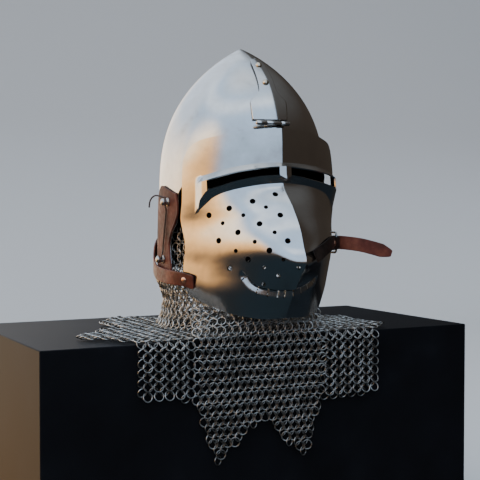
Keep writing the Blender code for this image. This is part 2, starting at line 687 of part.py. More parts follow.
# A staple's profile from its domed head down to its collar: radii and heights.
VERVELLE = ((0.0, 0.0100), (0.0034, 0.0090), (0.0046, 0.0069), (0.0036, 0.0048),
            (0.0036, 0.0020), (0.0053, 0.0010), (0.0053, 0.0), (0.0, 0.0))
CORD_R = 0.0011
CORD_HOLE_R = 0.0016
CORD_LIFT = 0.0066                      # the cord's middle over the skull, at a staple
CORD_STRAIGHT = 0.0052                  # how far it runs straight to each side of a staple
CORD_REST = 0.0004                      # its gap over the leather between the staples
# Where it dips between two staples, as shares of the way; round the nape they are closer.
CORD_DIPS = (0.20, 0.35, 0.50, 0.65, 0.84)
NAPE_DIPS = (0.3, 0.5, 0.7)
# The cord's free end: steps from the last staple.
CORD_FREE = ((-0.0030, 0.0050, 0.0066), (-0.0080, 0.0110, 0.0082), (-0.0115, 0.0165, 0.0052),
             (-0.0128, 0.0205, -0.0006), (-0.0130, 0.0218, -0.0070))


def make_band():
    """Leather over the skull's lower edge, tall at the cheeks and low round the nape."""
    share = np.concatenate([[0, 0.025, 0.05, 0.085, 0.13, 0.18, 0.23, 0.28, 0.34, 0.41],
                            np.linspace(0.5, 1, 6)])
    share = np.concatenate([share, (2 - share[-2::-1])])
    rows = []
    for k in (1.0, 0.72, 0.45, 0.2, 0.0):
        start = np.full_like(share, BAND_FRONT[0][1])
        for _ in range(8):
            angle = np.where(share <= 1, start + (180 - start) * share,
                             180 + (180 - start) * (share - 1))
            side = np.where(angle > 180, 360 - angle, angle)
            z = BAND_LOW + (through(BAND_TOP, side) - BAND_LOW) * k
            start = through(BAND_FRONT, z)
        rows.append(skull_point(np.radians(angle), z, BAND_OUT))
    sheet_part("aventail_band", np.array(rows), LEATHER_BROWN, LEATHER)


def all_vervelles():
    """Every staple in order from the wearer's left cheek, round the nape, to the right."""
    left = list(VERVELLES)
    right = [(360 - degrees, z) for degrees, z in reversed(VERVELLES[:-1])]
    return left + right


def skull_normal(degrees, z):
    across = skull_point(np.radians(degrees + 0.5), z) - skull_point(np.radians(degrees - 0.5), z)
    up = skull_point(np.radians(degrees), z + 0.001) - skull_point(np.radians(degrees), z - 0.001)
    out = np.cross(across, up)
    return out / np.linalg.norm(out, axis=-1, keepdims=True)


def cord_path():
    """The cord threads the staples, dipping to the leather between them, with a free end."""
    places = all_vervelles()
    points = []
    for number, (degrees, z) in enumerate(places):
        out = skull_normal(np.float64(degrees), np.float64(z))
        here = skull_point(np.radians(degrees), z, 0.0) + CORD_LIFT * out
        if number in (0, len(places) - 1):
            along = np.array([0.0, 0.0, -1.0 if number == 0 else 1.0])
        else:
            before, after = places[number - 1], places[number + 1]
            along = (skull_point(np.radians(after[0]), after[1])
                     - skull_point(np.radians(before[0]), before[1]))
        along = along - out * np.dot(along, out)
        along = along / np.linalg.norm(along)
        points.append((here, along, out))
    return places, points


def make_vervelles():
    """Each staple is a turned stud on the leather, drilled across for the cord."""
    places, threads = cord_path()
    for number, ((degrees, z), (here, along, out)) in enumerate(zip(places, threads), 1):
        stud = turned_part(f"vervelle_{number}", VERVELLE, 10, POLISHED_STEEL)
        base = skull_point(np.radians(degrees), z, 0.0) + (BAND_OUT + GAP) * out
        aim(stud, base, out)
        drill = cylinder_mesh("drill", CORD_HOLE_R, 0.016, 8)
        cut(stud, joined_cutter(f"cord_hole_{number}", [(drill, facing(here, along, out))]))


def make_cord():
    places, threads = cord_path()
    points = []
    for number, ((degrees, z), (here, along, out)) in enumerate(zip(places, threads)):
        points += [here - CORD_STRAIGHT * along, here + CORD_STRAIGHT * along]
        if number + 1 < len(places):
            after, after_z = places[number + 1]
            low = BAND_OUT + CORD_REST + CORD_R
            for part in CORD_DIPS if degrees != 180 else NAPE_DIPS:
                a = degrees + (after - degrees) * part
                h = z + (after_z - z) * part
                side = skull_normal(np.float64(a), np.float64(h))
                points.append(skull_point(np.radians(a), h, 0.0) + low * side)
    points += list(threads[-1][0] + np.array(CORD_FREE))
    tube_part("lacing_cord", points, CORD_R, CORD_DARK, 0)


# ---- The nape strap and its buckle -----------------------------------------
STRAP_WIDE = 0.018
STRAP_POINTS = 78                       # how many points it is drawn through
STRAP_TIP = 0.009                       # its width at its free end
STRAP_TILT = ((0, 17), (3, 15), (7, 0), (8, 0))    # degrees, at points along the strap
STRAP_LIFT = 0.0071                     # the strap's middle over the skull
# On the visor's right cheek: degrees, height. Then round the skull: degrees, height.
STRAP_VISOR = ((-60.3, 0.0686), (-63.0, 0.0697), (-65.8, 0.0714))
STRAP_SKULL = ((272, 0.0740), (262, 0.0760), (250, 0.0820), (240, 0.0935), (230, 0.1070),
               (215, 0.1180), (195, 0.1215), (180, 0.1215), (165, 0.1210), (150, 0.1180),
               (135, 0.1160), (120, 0.1145), (105, 0.1140), (95, 0.1135))
BUCKLE = (0.1185, -0.0960, 0.1135)      # middle of the buckle
BUCKLE_LONG = 0.0200
BUCKLE_TALL = 0.0270
BUCKLE_WIRE = 0.0014
BUCKLE_CORNER = 0.003
# The strap through the buckle and its free end: right, forward, up from the buckle's middle.
STRAP_FREE = ((-0.0040, 0.0160, 0.0), (-0.0034, 0.0090, 0.0), (-0.0010, 0.0030, 0.0),
              (0.0030, -0.0040, 0.0), (0.0064, -0.0105, -0.0002), (0.0135, -0.0190, -0.0010),
              (0.0250, -0.0290, -0.0030), (0.0400, -0.0400, -0.0075), (0.0590, -0.0530, -0.0145))


RIVET_FROM_END = 0.0145                 # the rivet's distance along it from its front end
# The hole for the tongue: radius, step from the buckle's middle, and the way it goes.
PUNCH_R = 0.0021
PUNCH_STEP = np.array([0.0036, -0.0050, 0.0])
PUNCH_AIM = (0.85, 0.45, 0.0)
TAB_LIFT = 0.0014                       # the tab bridges the cheek's facets
TAB_WIDE = 0.0165
# The tab's middle on the visor's left cheek: degrees, height.
TAB_LINE = ((8, 0.1022), (10, 0.1042), (16, 0.1090), (22, 0.1130), (28, 0.1157), (34, 0.1164),
            (40, 0.1156), (46.3, 0.1143), (51.5, 0.1134), (57, 0.1125))
TAB_RIVET = (50.0, 0.1136)              # degrees, height
TAB_GAP = (0.0052, 0.0036)              # radius and height of its cut round the tongue
TONGUE_R = 0.0010
TONGUE_TURN = 0.0027                    # radius of the tongue's turn round the frame
# Steps from the buckle: the tab's bend in front of it, and the tongue's last three points.
TAB_BEND = (-0.0012, -0.0085, 0.0)
TONGUE_TIP = ((0.0052, -0.0030, 0.0), (0.0038, -0.0010, 0.0), (0.0034, 0.0016, 0.0))
TAB_RIVET_STAND = 0.0006                # how far the rivet's head clears the tab's facets


def strip_frame(path, tilt):
    """Outward and upward directions of a strap standing on edge along a path; tilt turns
    its top edge outward, in radians at each point."""
    along = np.gradient(path, axis=0)
    along /= np.linalg.norm(along, axis=1, keepdims=True)
    out = np.cross((0.0, 0.0, 1.0), along)
    out /= np.linalg.norm(out, axis=1, keepdims=True)
    up = np.cross(along, out)
    tilt = np.broadcast_to(tilt, len(path))[:, None]
    return out * np.cos(tilt) - up * np.sin(tilt), up * np.cos(tilt) + out * np.sin(tilt)


def strip(name, path, wide, thick, material, tilt=0.0):
    """A flat strap along a path, standing on edge."""
    path = np.asarray(path, float)
    out, up = strip_frame(path, tilt)
    wide = np.broadcast_to(wide, len(path))[:, None] / 2
    ring = np.stack([path + up * wide + out * thick / 2, path + up * wide - out * thick / 2,
                     path - up * wide - out * thick / 2, path - up * wide + out * thick / 2], 1)
    return solid_loft(name, ring, material)


def resampled(points, count):
    """Evenly spaced points along a smooth line through the given ones."""
    points = np.asarray(points, float)
    length = np.concatenate([[0], np.cumsum(np.linalg.norm(np.diff(points, axis=0), axis=1))])
    t = np.linspace(0, length[-1], count)
    return np.stack([through(list(zip(length, points[:, k])), t) for k in range(3)], axis=1)


def strap_path():
    lift = 3 * GAP + LEATHER / 2
    front = [visor_point(np.float64(d), np.float64(z), lift) for d, z in STRAP_VISOR]
    round_ = [skull_point(np.radians(d), z, STRAP_LIFT) for d, z in STRAP_SKULL]
    free = [np.array(BUCKLE) + np.array(step) for step in STRAP_FREE]
    return np.concatenate([front, round_, free])


def make_strap():
    """The strap, its hole for the tongue, and the copper rivet near its front end."""
    path = resampled(strap_path(), STRAP_POINTS)
    wide = np.full(len(path), STRAP_WIDE)
    wide[-1] = STRAP_TIP
    tilt = np.radians(through(STRAP_TILT, np.arange(len(path))))
    strap = strip("nape_strap", path, wide, LEATHER, LEATHER_DARK, tilt)
    punch = cylinder_mesh("punch", PUNCH_R, 2 * TOOL_REACH, 8)
    place = np.array(BUCKLE) + PUNCH_STEP
    cut(strap, joined_cutter("strap_hole", [(punch, facing(place, PUNCH_AIM))]))
    out, _ = strip_frame(path, tilt)
    step = np.linalg.norm(path[2] - path[1])
    number = int(round(RIVET_FROM_END / step))
    base = path[number] + out[number] * (LEATHER / 2 + GAP)
    domed_rivet("strap_rivet", base, out[number], SMALL_RIVET, COPPER)


def ring_of(name, outline, radius, material):
    """A closed wire through the points, round in section."""
    curve = bpy.data.curves.new(name, "CURVE")
    curve.dimensions = "3D"
    curve.bevel_depth = radius
    curve.bevel_resolution = 1
    spline = curve.splines.new("POLY")
    spline.points.add(len(outline) - 1)
    for point, (x, y, z) in zip(spline.points, outline):
        point.co = (x, y, z, 1.0)
    spline.use_cyclic_u = True
    return curve_to_mesh(name, curve, material)


def make_buckle():
    """A wire frame held by a doubled leather tab, with a tongue through the strap."""
    x, y, z = BUCKLE
    rear, front = y + BUCKLE_LONG / 2, y - BUCKLE_LONG / 2
    high, low, r = z + BUCKLE_TALL / 2, z - BUCKLE_TALL / 2, BUCKLE_CORNER
    frame = [(x, front, high - r), (x, front + r, high), (x, rear - r, high), (x, rear, high - r),
             (x, rear, low + r), (x, rear - r, low), (x, front + r, low), (x, front, low + r)]
    ring_of("buckle_frame", frame, BUCKLE_WIRE, POLISHED_STEEL)
    turn = np.radians(np.linspace(-60, 165, 7))
    hug = BUCKLE_WIRE + PIN_PLAY + LEATHER / 2
    loop = stacked(x + hug * np.cos(turn), front + hug * np.sin(turn), z)
    degrees, heights = np.array(TAB_LINE).T
    flat = visor_point(degrees, heights, TAB_LIFT + LEATHER / 2)
    bend = np.array([[x, front, z]]) + TAB_BEND
    path = np.concatenate([flat, bend, loop])
    tilt = np.zeros(len(path))
    tilt[:len(flat)] = np.arcsin(visor_normal(degrees, heights)[:, 2])
    tab = strip("buckle_tab", path, TAB_WIDE, LEATHER, LEATHER_DARK, tilt)
    gap = cylinder_mesh("tongue_gap", *TAB_GAP, 8)
    cut(tab, joined_cutter("tongue_gap", [(gap, Matrix.Translation((x, front, z)))]))
    turn = np.radians([200, 250, 300, 350, 400, 430])
    collar = stacked(x + TONGUE_TURN * np.cos(turn), front + TONGUE_TURN * np.sin(turn), z)
    tip = np.array([[x, y, z], [x, rear, z], [x, rear, z]]) + TONGUE_TIP
    tube_part("buckle_tongue", np.concatenate([collar, tip]), TONGUE_R, POLISHED_STEEL, 1)
    spot = [np.array([value]) for value in TAB_RIVET]
    base = visor_point(*spot, TAB_LIFT + LEATHER + TAB_RIVET_STAND)[0]
    domed_rivet("tab_rivet", base, visor_normal(*spot)[0], SMALL_RIVET, COPPER)


# ---- The mail --------------------------------------------------------------
COLLAR_Y = -0.0565
COLLAR_FOOT = 0.0060
COLLAR_TAPER = 0.12                     # how much narrower it gets towards the chin
# The collar's outline at each height: half width, front reach, back reach.
COLLAR = ((0.0060, 0.1090, 0.1030, 0.1110), (0.0120, 0.1050, 0.1010, 0.1080),
          (0.0250, 0.1005, 0.1000, 0.1050), (0.0400, 0.0980, 0.1000, 0.1045),
          (0.0550, 0.1025, 0.1000, 0.1080), (0.0680, 0.1080, 0.1000, 0.1140),
          (0.0765, 0.1095, 0.1000, 0.1165), (0.0900, 0.1035, 0.1000, 0.1165),
          (0.1400, 0.1030, 0.1000, 0.1165))
COLLAR_TOP = ((0, 0.0750), (35, 0.0850), (50, 0.1150), (57, 0.1370), (70, 0.1370),
              (73.5, 0.1300), (76, 0.1150), (77.5, 0.0765), (90, 0.0765), (180, 0.0765))
CURTAIN_Y = -0.1585                     # where the mail hangs in front of the plinth
CURTAIN_BEND = ((-0.1498, 0.0040), (-0.1535, 0.0037), (-0.1565, 0.0022), (-0.1580, -0.0005),
                (-0.1585, -0.0050))
FRONT_LOW = ((-0.1100, -0.0750), (-0.0970, -0.1130), (-0.0850, -0.1520), (-0.0650, -0.1370),
             (-0.0430, -0.1190), (-0.0190, -0.1010), (0.0000, -0.1190), (0.0200, -0.1390),
             (0.0400, -0.1580), (0.0520, -0.1200), (0.0630, -0.0820))
RIGHT_LOW = ((-0.1840, -0.0680), (-0.1470, -0.0700), (-0.1110, -0.0720))
LEFT_LOW = ((0.0640, -0.0880), (0.1000, -0.0860), (0.1510, -0.0790))
# The cape lying on the plinth, clockwise from its front right corner as the wearer sees it.
MANTLE = ((-0.1840, -0.1490), (-0.2390, -0.0820), (-0.1800, -0.0300), (-0.1470, -0.0280),
          (-0.1580, 0.0450), (-0.1150, 0.1050), (-0.0600, 0.0760), (0.0000, 0.1300),
          (0.0600, 0.0760), (0.1150, 0.1050), (0.1580, 0.0450), (0.1440, -0.0100),
          (0.1660, -0.0400), (0.1760, -0.1280), (0.1510, -0.1490))


def collar_point(degrees, z):
    side, front, back = (through(COLLAR, z, c) for c in (1, 2, 3))
    angle = np.radians(degrees)
    reach = np.where(np.cos(angle) > 0, front, back)
    side = side * (1 - COLLAR_TAPER * np.maximum(np.cos(angle), 0))
    return stacked(side * np.sin(angle), COLLAR_Y - reach * np.cos(angle), z)


def make_collar():
    half = np.array([0, 14, 28, 40, 50, 57, 64, 70, 73.5, 76, 77.5, 90, 102, 116, 130, 148, 166])
    degrees = np.concatenate([half, [180], 360 - half[:0:-1]])
    side = np.where(degrees > 180, 360 - degrees, degrees)
    top = through(COLLAR_TOP, side)
    share = np.array([1.0, 0.8, 0.6, 0.45, 0.3, 0.15, 0.06, 0.0])[:, None]
    z = COLLAR_FOOT + (top - COLLAR_FOOT) * share
    grid = collar_point(np.broadcast_to(degrees, z.shape), z)
    sheet_part("mail_collar", grid, WIRE_STEEL, MAIL, closed=True)


def curtain(name, low, start, end, columns):
    """Mail that bends over the plinth's front edge and hangs, with a shaped lower edge."""
    x = np.unique(np.concatenate([np.linspace(start, end, columns),
                                  [row[0] for row in low]]))
    bottom = np.interp(x, [row[0] for row in low], [row[1] for row in low])
    rows = [stacked(x, y, z) for y, z in CURTAIN_BEND]
    for share in (0.35, 0.68, 1.0):
        rows.append(stacked(x, CURTAIN_Y, CURTAIN_BEND[-1][1] * (1 - share) + bottom * share))
    sheet_part(name, np.array(rows), WIRE_STEEL, MAIL)


def make_mail():
    make_collar()
    curtain("mail_front", FRONT_LOW, -0.1100, 0.0630, 8)
    curtain("mail_flap_right", RIGHT_LOW, -0.1840, -0.1110, 5)
    curtain("mail_flap_left", LEFT_LOW, 0.0640, 0.1510, 6)
    turn = np.radians(np.linspace(0, 360, 28, endpoint=False))
    neck = [(0.088 * math.sin(a), -0.0535 - 0.086 * math.cos(a)) for a in turn]
    mantle = plate_from_outline("mail_mantle", MANTLE, (neck,), MAIL, WIRE_STEEL)
    mantle.location = (0.0, 0.0, 0.0005 + MAIL / 2)


make_plinth()
make_skull()
make_hinge_plate()
make_hinge()
make_hinge_leaf()
make_hinge_rivets()
make_visor()
make_band()
make_vervelles()
make_cord()
make_strap()
make_buckle()
make_mail()
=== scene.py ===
"""Looks of the pig-faced bascinet on its plinth: polished plate, leather, copper and mail.

Every shape is worked out in the seat frame, as in the construction: zero is the middle of the
plinth's top in X, level with it, and 150 mm behind its front edge. seat() carries it to the world.
"""

import math

import bmesh
import bpy
import numpy as np
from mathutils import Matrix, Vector


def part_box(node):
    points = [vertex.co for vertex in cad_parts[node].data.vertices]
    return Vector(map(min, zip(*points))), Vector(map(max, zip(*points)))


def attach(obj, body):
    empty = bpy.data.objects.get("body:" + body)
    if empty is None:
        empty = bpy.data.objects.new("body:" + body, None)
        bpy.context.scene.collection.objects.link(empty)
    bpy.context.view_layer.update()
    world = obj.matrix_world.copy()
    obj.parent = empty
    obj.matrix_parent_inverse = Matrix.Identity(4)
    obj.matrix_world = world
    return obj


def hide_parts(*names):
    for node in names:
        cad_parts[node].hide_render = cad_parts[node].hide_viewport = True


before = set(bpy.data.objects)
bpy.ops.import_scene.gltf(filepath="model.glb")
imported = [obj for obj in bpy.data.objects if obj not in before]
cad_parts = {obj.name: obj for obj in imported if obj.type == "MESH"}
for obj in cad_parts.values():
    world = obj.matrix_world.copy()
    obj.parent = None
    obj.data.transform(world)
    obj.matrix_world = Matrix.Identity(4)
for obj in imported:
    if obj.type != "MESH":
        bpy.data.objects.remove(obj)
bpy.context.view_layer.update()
PLINTH_LOW, PLINTH_HIGH = (np.array(corner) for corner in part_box("display_plinth"))
SEAT = np.array([0.0, PLINTH_LOW[1] + 0.150, PLINTH_HIGH[2]])
BODY = "root"

# ---- Driving dimensions, as in the construction ------------------------------
STEEL = 0.0018                          # plate thickness
SKULL_SIDE = (0.1070, 2.80)             # half width at the brow, and how late it draws in
SKULL_FRONT = (0.0925, 3.70)            # the same from the middle to the forehead
SKULL_BACK = (0.1135, 2.70)             # and from the middle to the nape
RISE_END = 0.89                         # exponent that sets how sharp the point is
SKULL_ROUND = 2.2                       # exponent of its level sections
SKULL_Y = -0.0675                       # middle of the sections at the brow
APEX_Y = -0.0568
APEX_Z = 0.368
BROW_Z = 0.170
KEEL = 0.006                            # height of the forehead's crease
KEEL_SPREAD = 0.30                      # radians in which it dies away
RIM_Z = 0.080

# Level sections of the visor: height, ridge, half width, widest point, sharpness.
VISOR_SECTIONS = (
    (0.2650, -0.1690, 0.1110, -0.0630, 0.30), (0.2400, -0.1710, 0.1165, -0.0630, 0.30),
    (0.2150, -0.1715, 0.1205, -0.0640, 0.32), (0.1900, -0.1735, 0.1220, -0.0660, 0.40),
    (0.1640, -0.1941, 0.1220, -0.0680, 0.72), (0.1350, -0.2144, 0.1215, -0.0680, 1.00),
    (0.1140, -0.2235, 0.1200, -0.0680, 1.00), (0.0965, -0.2310, 0.1170, -0.0680, 1.00),
    (0.0800, -0.2210, 0.1135, -0.0680, 0.90), (0.0580, -0.2070, 0.1033, -0.0680, 0.52),
    (0.0400, -0.1960, 0.0942, -0.0680, 0.28), (0.0230, -0.1870, 0.0865, -0.0660, 0.12),
)
# Lines across the visor, as heights at degrees from its ridge.
TOP_EDGE = ((0, 0.2575), (20, 0.2550), (40, 0.2475), (52, 0.2425), (60, 0.2340), (64.5, 0.2180))
SLIT_UPPER = ((-64.5, 0.1810), (-50, 0.1900), (-44.2, 0.1937), (-36.4, 0.1987), (-25.6, 0.2046),
              (-12.4, 0.2088), (-4.1, 0.2104), (0, 0.2107), (3.9, 0.2103), (11.5, 0.2089),
              (19.1, 0.2073), (28.8, 0.2049), (39.1, 0.2014), (47.6, 0.1975), (54, 0.1920),
              (64.5, 0.1820))
SLIT_LOWER = ((-64.5, 0.1480), (-56, 0.1540), (-50.6, 0.1600), (-49.4, 0.1680), (-47.2, 0.1740),
              (-44.2, 0.1808), (-36.5, 0.1863), (-25.7, 0.1936), (-12.4, 0.1985), (-5.1, 0.1997),
              (0, 0.2003), (4.9, 0.1996), (11.5, 0.1977), (19, 0.1947), (26.6, 0.1919),
              (36.8, 0.1884), (45.3, 0.1850), (48.5, 0.1790), (50.6, 0.1690), (52.8, 0.1600),
              (57, 0.1540), (64.5, 0.1480))
CREASE = ((0, 0.1905), (11, 0.1888), (25, 0.1843), (36, 0.1783), (42, 0.1725), (46, 0.1655),
          (49, 0.1600), (50.5, 0.1570), (56, 0.1480), (64.5, 0.1430))
JAW_EDGE = ((0, 0.0266), (15.5, 0.0257), (33.5, 0.0288), (48.5, 0.0354), (56.5, 0.0430),
            (64.5, 0.0535))
BACK_EDGE = ((0.050, 71.6), (0.080, 65.9), (0.088, 65.0), (0.098, 63.4), (0.108, 62.1),
             (0.1205, 61.5), (0.132, 62.3), (0.150, 63.8), (0.165, 63.2), (0.250, 63.5))
LIP_OUT = ((0, 0.0095), (6, 0.0075), (20, 0.0065), (35, 0.0072), (44, 0.0085), (47, 0.0082),
           (49.5, 0.0052), (51.5, 0.0022), (53.5, 0.0), (64.5, 0.0))
FLARE = ((0, 0.0045), (13, 0.0058), (25, 0.0063), (37, 0.0073), (45, 0.0076), (51, 0.0083),
         (64.5, 0.0083))
LEAN = ((0.020, -0.0050), (0.060, -0.0040), (0.0965, -0.0010), (0.130, 0.0))
TIP_Z = 0.0965
TURN_RISE = 0.008                       # how far above the tip the snout's flanks turn under
TURN_SIDE = (0.06, 0.30, 0.55, 0.80)    # sines of the angle where that rise comes and goes
TURN_TALL = (0.060, 0.0965, 0.118, 0.150)   # heights where it comes and goes
TIP_SOFT = 0.024                        # height over which the cheeks turn under at the tip
FULLNESS = 2.6                          # how far the snout's flanks swell beside its ridge
SWELL_END = 0.82                        # sine of the angle at which that swelling ends
OVAL_POWER = 2.3                        # exponent of the smooth sections
ARCH_POWER = 0.56                       # exponent of the sharp-nosed ones
NASAL_DIP = (0.0062, 4.2)               # how far the bar between the slits reaches down, degrees
SLIT_INNER = 3.6                        # degrees: the slits' inner ends
SLIT_ENDS = (-44.2, 46.3)               # degrees: their outer ends
HOLE_SPREAD = 1.13
HOLE_ROWS = (
    (4, 0.0036, 44.9, 0.1510, 6.7, 0.1765), (3, 0.0026, 38.1, 0.1416, 14.5, 0.1610),
    (4, 0.0036, 41.4, 0.1206, 8.1, 0.1515), (3, 0.0026, 34.0, 0.1088, 13.9, 0.1312),
    (4, 0.0036, 36.9, 0.0877, 7.6, 0.1211), (2, 0.0024, 20.4, 0.0895, 11.6, 0.0993),
    (3, 0.0026, 19.3, 0.0692, 3.0, 0.0895),
)
MOUTH = ((-60, 0.0950), (-33.5, 0.0883), (-30.3, 0.0839), (-28.3, 0.0786), (-27.1, 0.0745),
         (-25.8, 0.0702), (-20.8, 0.0646), (-16.0, 0.0624), (-9.5, 0.0610), (-3.2, 0.0611),
         (4.0, 0.0633), (10.2, 0.0678), (15.2, 0.0734), (17.9, 0.0768), (60, 0.0855))
MOUTH_ENDS = (-28.5, 17.6)
MOUTH_GAPE = 0.0016
TOOTH_CUTS = (-28.3, -22.2, -16.2, -10.0, -5.7, 0.0, 6.2, 11.3, 15.6)
TOOTH_CUT = 0.0017
TOOTH_TALL = 0.0083
TOOTH_OUT = -0.0032                     # the teeth are bent in by this at their tops
TEETH_NEAR = (45, 0.040, 0.095)         # degrees and heights beyond which nothing is bent
TOOTH_GAP = 0.0006                      # how far a cut runs past a tooth's foot
FOLD = 0.0010                           # half the height of the fold at the teeth's tops
CHIN_CLEAR = 0.006                      # least height of the strip under the teeth
TOP_CLEAR = 0.004                       # the upper lip stops this far below the top edge
CHEEK_DEGREE = 0.0023                   # metres to a degree round the snout, at the mouth


# ---- Curves and surfaces -----------------------------------------------------
def through(table, x, column=1):
    """The value at x of a smooth curve through the rows of a table, never overshooting one."""
    rows = sorted(table)
    t = np.array([row[0] for row in rows], float)
    v = np.array([row[column] for row in rows], float)
    step = np.diff(v) / np.diff(t)
    slope = np.concatenate([step[:1], np.zeros(len(v) - 2), step[-1:]])
    same_way = step[1:] * step[:-1] > 0
    both = step[1:] + step[:-1]
    slope[1:-1] = np.where(same_way, 2 * step[1:] * step[:-1] / np.where(both == 0, 1, both), 0)
    x = np.clip(x, t[0], t[-1])
    i = np.clip(np.searchsorted(t, x) - 1, 0, len(t) - 2)
    h = t[i + 1] - t[i]
    s = (x - t[i]) / h
    return (v[i] * (1 + 2 * s) * (1 - s) ** 2 + slope[i] * h * s * (1 - s) ** 2
            + v[i + 1] * s * s * (3 - 2 * s) - slope[i + 1] * h * s * s * (1 - s))


def eased(table, x, column, width):
    """The same curve averaged over a short width, so that its bend has no steps in it."""
    taps = (-1.0, -0.66, -0.33, 0.0, 0.33, 0.66, 1.0)
    share = np.array([1, 3, 5, 6, 5, 3, 1]) / 24
    return sum(w * through(table, x + tap * width, column) for tap, w in zip(taps, share))


def stacked(x, y, z):
    """Three coordinates as points."""
    return np.stack(np.broadcast_arrays(x, y, z), axis=-1)


def full_turn(count):
    """Even angles once round, the last one short of the first."""
    return np.linspace(0, 2 * math.pi, count, endpoint=False)


def signed_power(value, power):
    """The size of a value raised to a power, with the value's own sign."""
    return np.sign(value) * np.abs(value) ** power


def unit(vectors):
    """Vectors made one long."""
    return vectors / np.maximum(np.linalg.norm(vectors, axis=-1, keepdims=True), 1e-12)


def smooth_step(x, low, high):
    """Rises from 0 to 1 between two values as 3 s^2 - 2 s^3."""
    s = np.clip((x - low) / (high - low), 0, 1)
    return s * s * (3 - 2 * s)


def skull_point(angle, z, out=0.0):
    """A pointed oval. Level sections are superellipses whose front, back and sides each shrink
    towards the point as (1 - rise^p)^q, with a crease down the forehead; out stands off it."""
    rise = np.clip((z - BROW_Z) / (APEX_Z - BROW_Z), 0, 1)
    centre = SKULL_Y + (APEX_Y - SKULL_Y) * rise ** 2
    side, front, back = (size * (1 - rise ** late) ** RISE_END
                         for size, late in (SKULL_SIDE, SKULL_FRONT, SKULL_BACK))
    power = 2 / SKULL_ROUND
    crease = KEEL * np.exp(-np.abs(np.arctan2(np.sin(angle), np.cos(angle))) / KEEL_SPREAD)
    crease = crease * np.minimum(1, 15 * side)
    reach = np.where(np.cos(angle) > 0, front, back) + out
    x = (side + out) * signed_power(np.sin(angle), power)
    y = centre - reach * signed_power(np.cos(angle), power) - crease
    return stacked(x, y, z)


def mouth_distance(degrees, z):
    """Distance along the plate from the mouth's line."""
    places = np.linspace(*MOUTH_ENDS, 60)
    away = [np.hypot((degrees - place) * CHEEK_DEGREE, z - height)
            for place, height in zip(places, through(MOUTH, places))]
    return np.minimum(1.0, np.min(away, axis=0))


def tooth_bend(degrees, z):
    """How far the strips under the mouth are bent: most at the slit, nothing a tooth's height
    away from it, and nothing above it."""
    degrees, z = np.broadcast_arrays(np.asarray(degrees, float), np.asarray(z, float))
    widest, low, high = TEETH_NEAR
    near = (np.abs(degrees) < widest) & (z < high) & (z > low)
    bend = np.zeros(degrees.shape)
    away = mouth_distance(degrees[near], z[near])
    line = through(MOUTH, degrees[near])
    below = 1 - smooth_step(z[near], line - 0.0006, line + 0.0008)
    fade = 1 - smooth_step(degrees[near], MOUTH_ENDS[1] - 0.5, MOUTH_ENDS[1] + 2)
    bend[near] = TOOTH_OUT * np.clip(1 - away / TOOTH_TALL, 0, 1) * below * fade
    return bend


def visor_point(degrees, z, out=0.0, lips=True):
    """Level sections from the ridge round to the cheek, between a smooth oval and a sharp-nosed
    arch, with the turned-out lips of the slits and the bent teeth added along the outward
    direction."""
    angle = np.radians(degrees)
    side = np.abs(degrees)
    s = np.abs(np.sin(angle))
    rise = TURN_RISE * smooth_step(s, *TURN_SIDE[:2]) * (1 - smooth_step(s, *TURN_SIDE[2:]))
    rise = rise * smooth_step(z, *TURN_TALL[:2]) * (1 - smooth_step(z, *TURN_TALL[2:]))
    ridge = eased(VISOR_SECTIONS, z - rise, 1, TIP_SOFT * smooth_step(s, 0.06, 0.42))
    width, widest, sharp = (eased(VISOR_SECTIONS, z, c, 0.010) for c in (2, 3, 4))
    arch = (1 - s) ** ARCH_POWER + FULLNESS * sharp * (s * np.clip(SWELL_END - s, 0, None)) ** 2
    reach = (1 - sharp) * (1 - s ** OVAL_POWER) ** (1 / OVAL_POWER) + sharp * arch
    x = width * np.sin(angle) + eased(LEAN, z, 1, 0.01)
    y = widest + (ridge - widest) * reach
    if lips:
        upper, lower = (through(t, degrees) for t in (SLIT_UPPER, SLIT_LOWER))
        crease, flare = (through(t, side) for t in (CREASE, FLARE))
        lower = lower - NASAL_DIP[0] * np.clip(1 - side / NASAL_DIP[1], 0, 1)
        above = np.clip((upper + flare - z) / flare, 0, 1)
        below = np.clip((z - crease) / np.maximum(lower - crease, 1e-4), 0, 1)
        out = out + through(LIP_OUT, side) * np.minimum(above, below) + tooth_bend(degrees, z)
    return stacked(x + out * np.sin(angle), y - out * np.cos(angle), z)


def direction_out(surface, degrees, z, turn, rise):
    """The outward direction of a surface, square to its slopes across and up."""
    across = surface(degrees + turn, z) - surface(degrees - turn, z)
    up = surface(degrees, z + rise) - surface(degrees, z - rise)
    return unit(np.cross(across, up))


def visor_normal(degrees, z):
    """The plain visor's outward direction, without its lips."""
    return direction_out(lambda d, h: visor_point(d, h, 0, False), degrees, z, 0.2, 0.0005)


def skull_normal(degrees, z):
    """The skull's outward direction."""
    return direction_out(lambda d, h: skull_point(np.radians(d), h), degrees, z, 0.5, 0.001)


# ---- Meshes ------------------------------------------------------------------
def grid_faces(rows, columns, closed=False):
    """Quads of a grid whose rows run down and whose columns run round, facing out."""
    r, c = np.meshgrid(np.arange(rows - 1), np.arange(columns if closed else columns - 1),
                       indexing="ij")
    d = (c + 1) % columns
    quads = np.stack([r * columns + c, (r + 1) * columns + c, (r + 1) * columns + d,
                      r * columns + d], axis=-1)
    return quads.reshape(-1, 4)


def linked(name, data):
    """A new object, put into the scene."""
    made = bpy.data.objects.new(name, data)
    bpy.context.scene.collection.objects.link(made)
    return made


def new_mesh(name, points, faces, sharp=40.0):
    """An object at the origin whose mesh holds its place in the world."""
    mesh = bpy.data.meshes.new(name)
    mesh.from_pydata((points.reshape(-1, 3) + SEAT).tolist(), [], faces.tolist())
    mesh.update()
    mesh.shade_smooth()
    if sharp:
        mesh.set_sharp_from_angle(angle=math.radians(sharp))
    return linked(name, mesh)


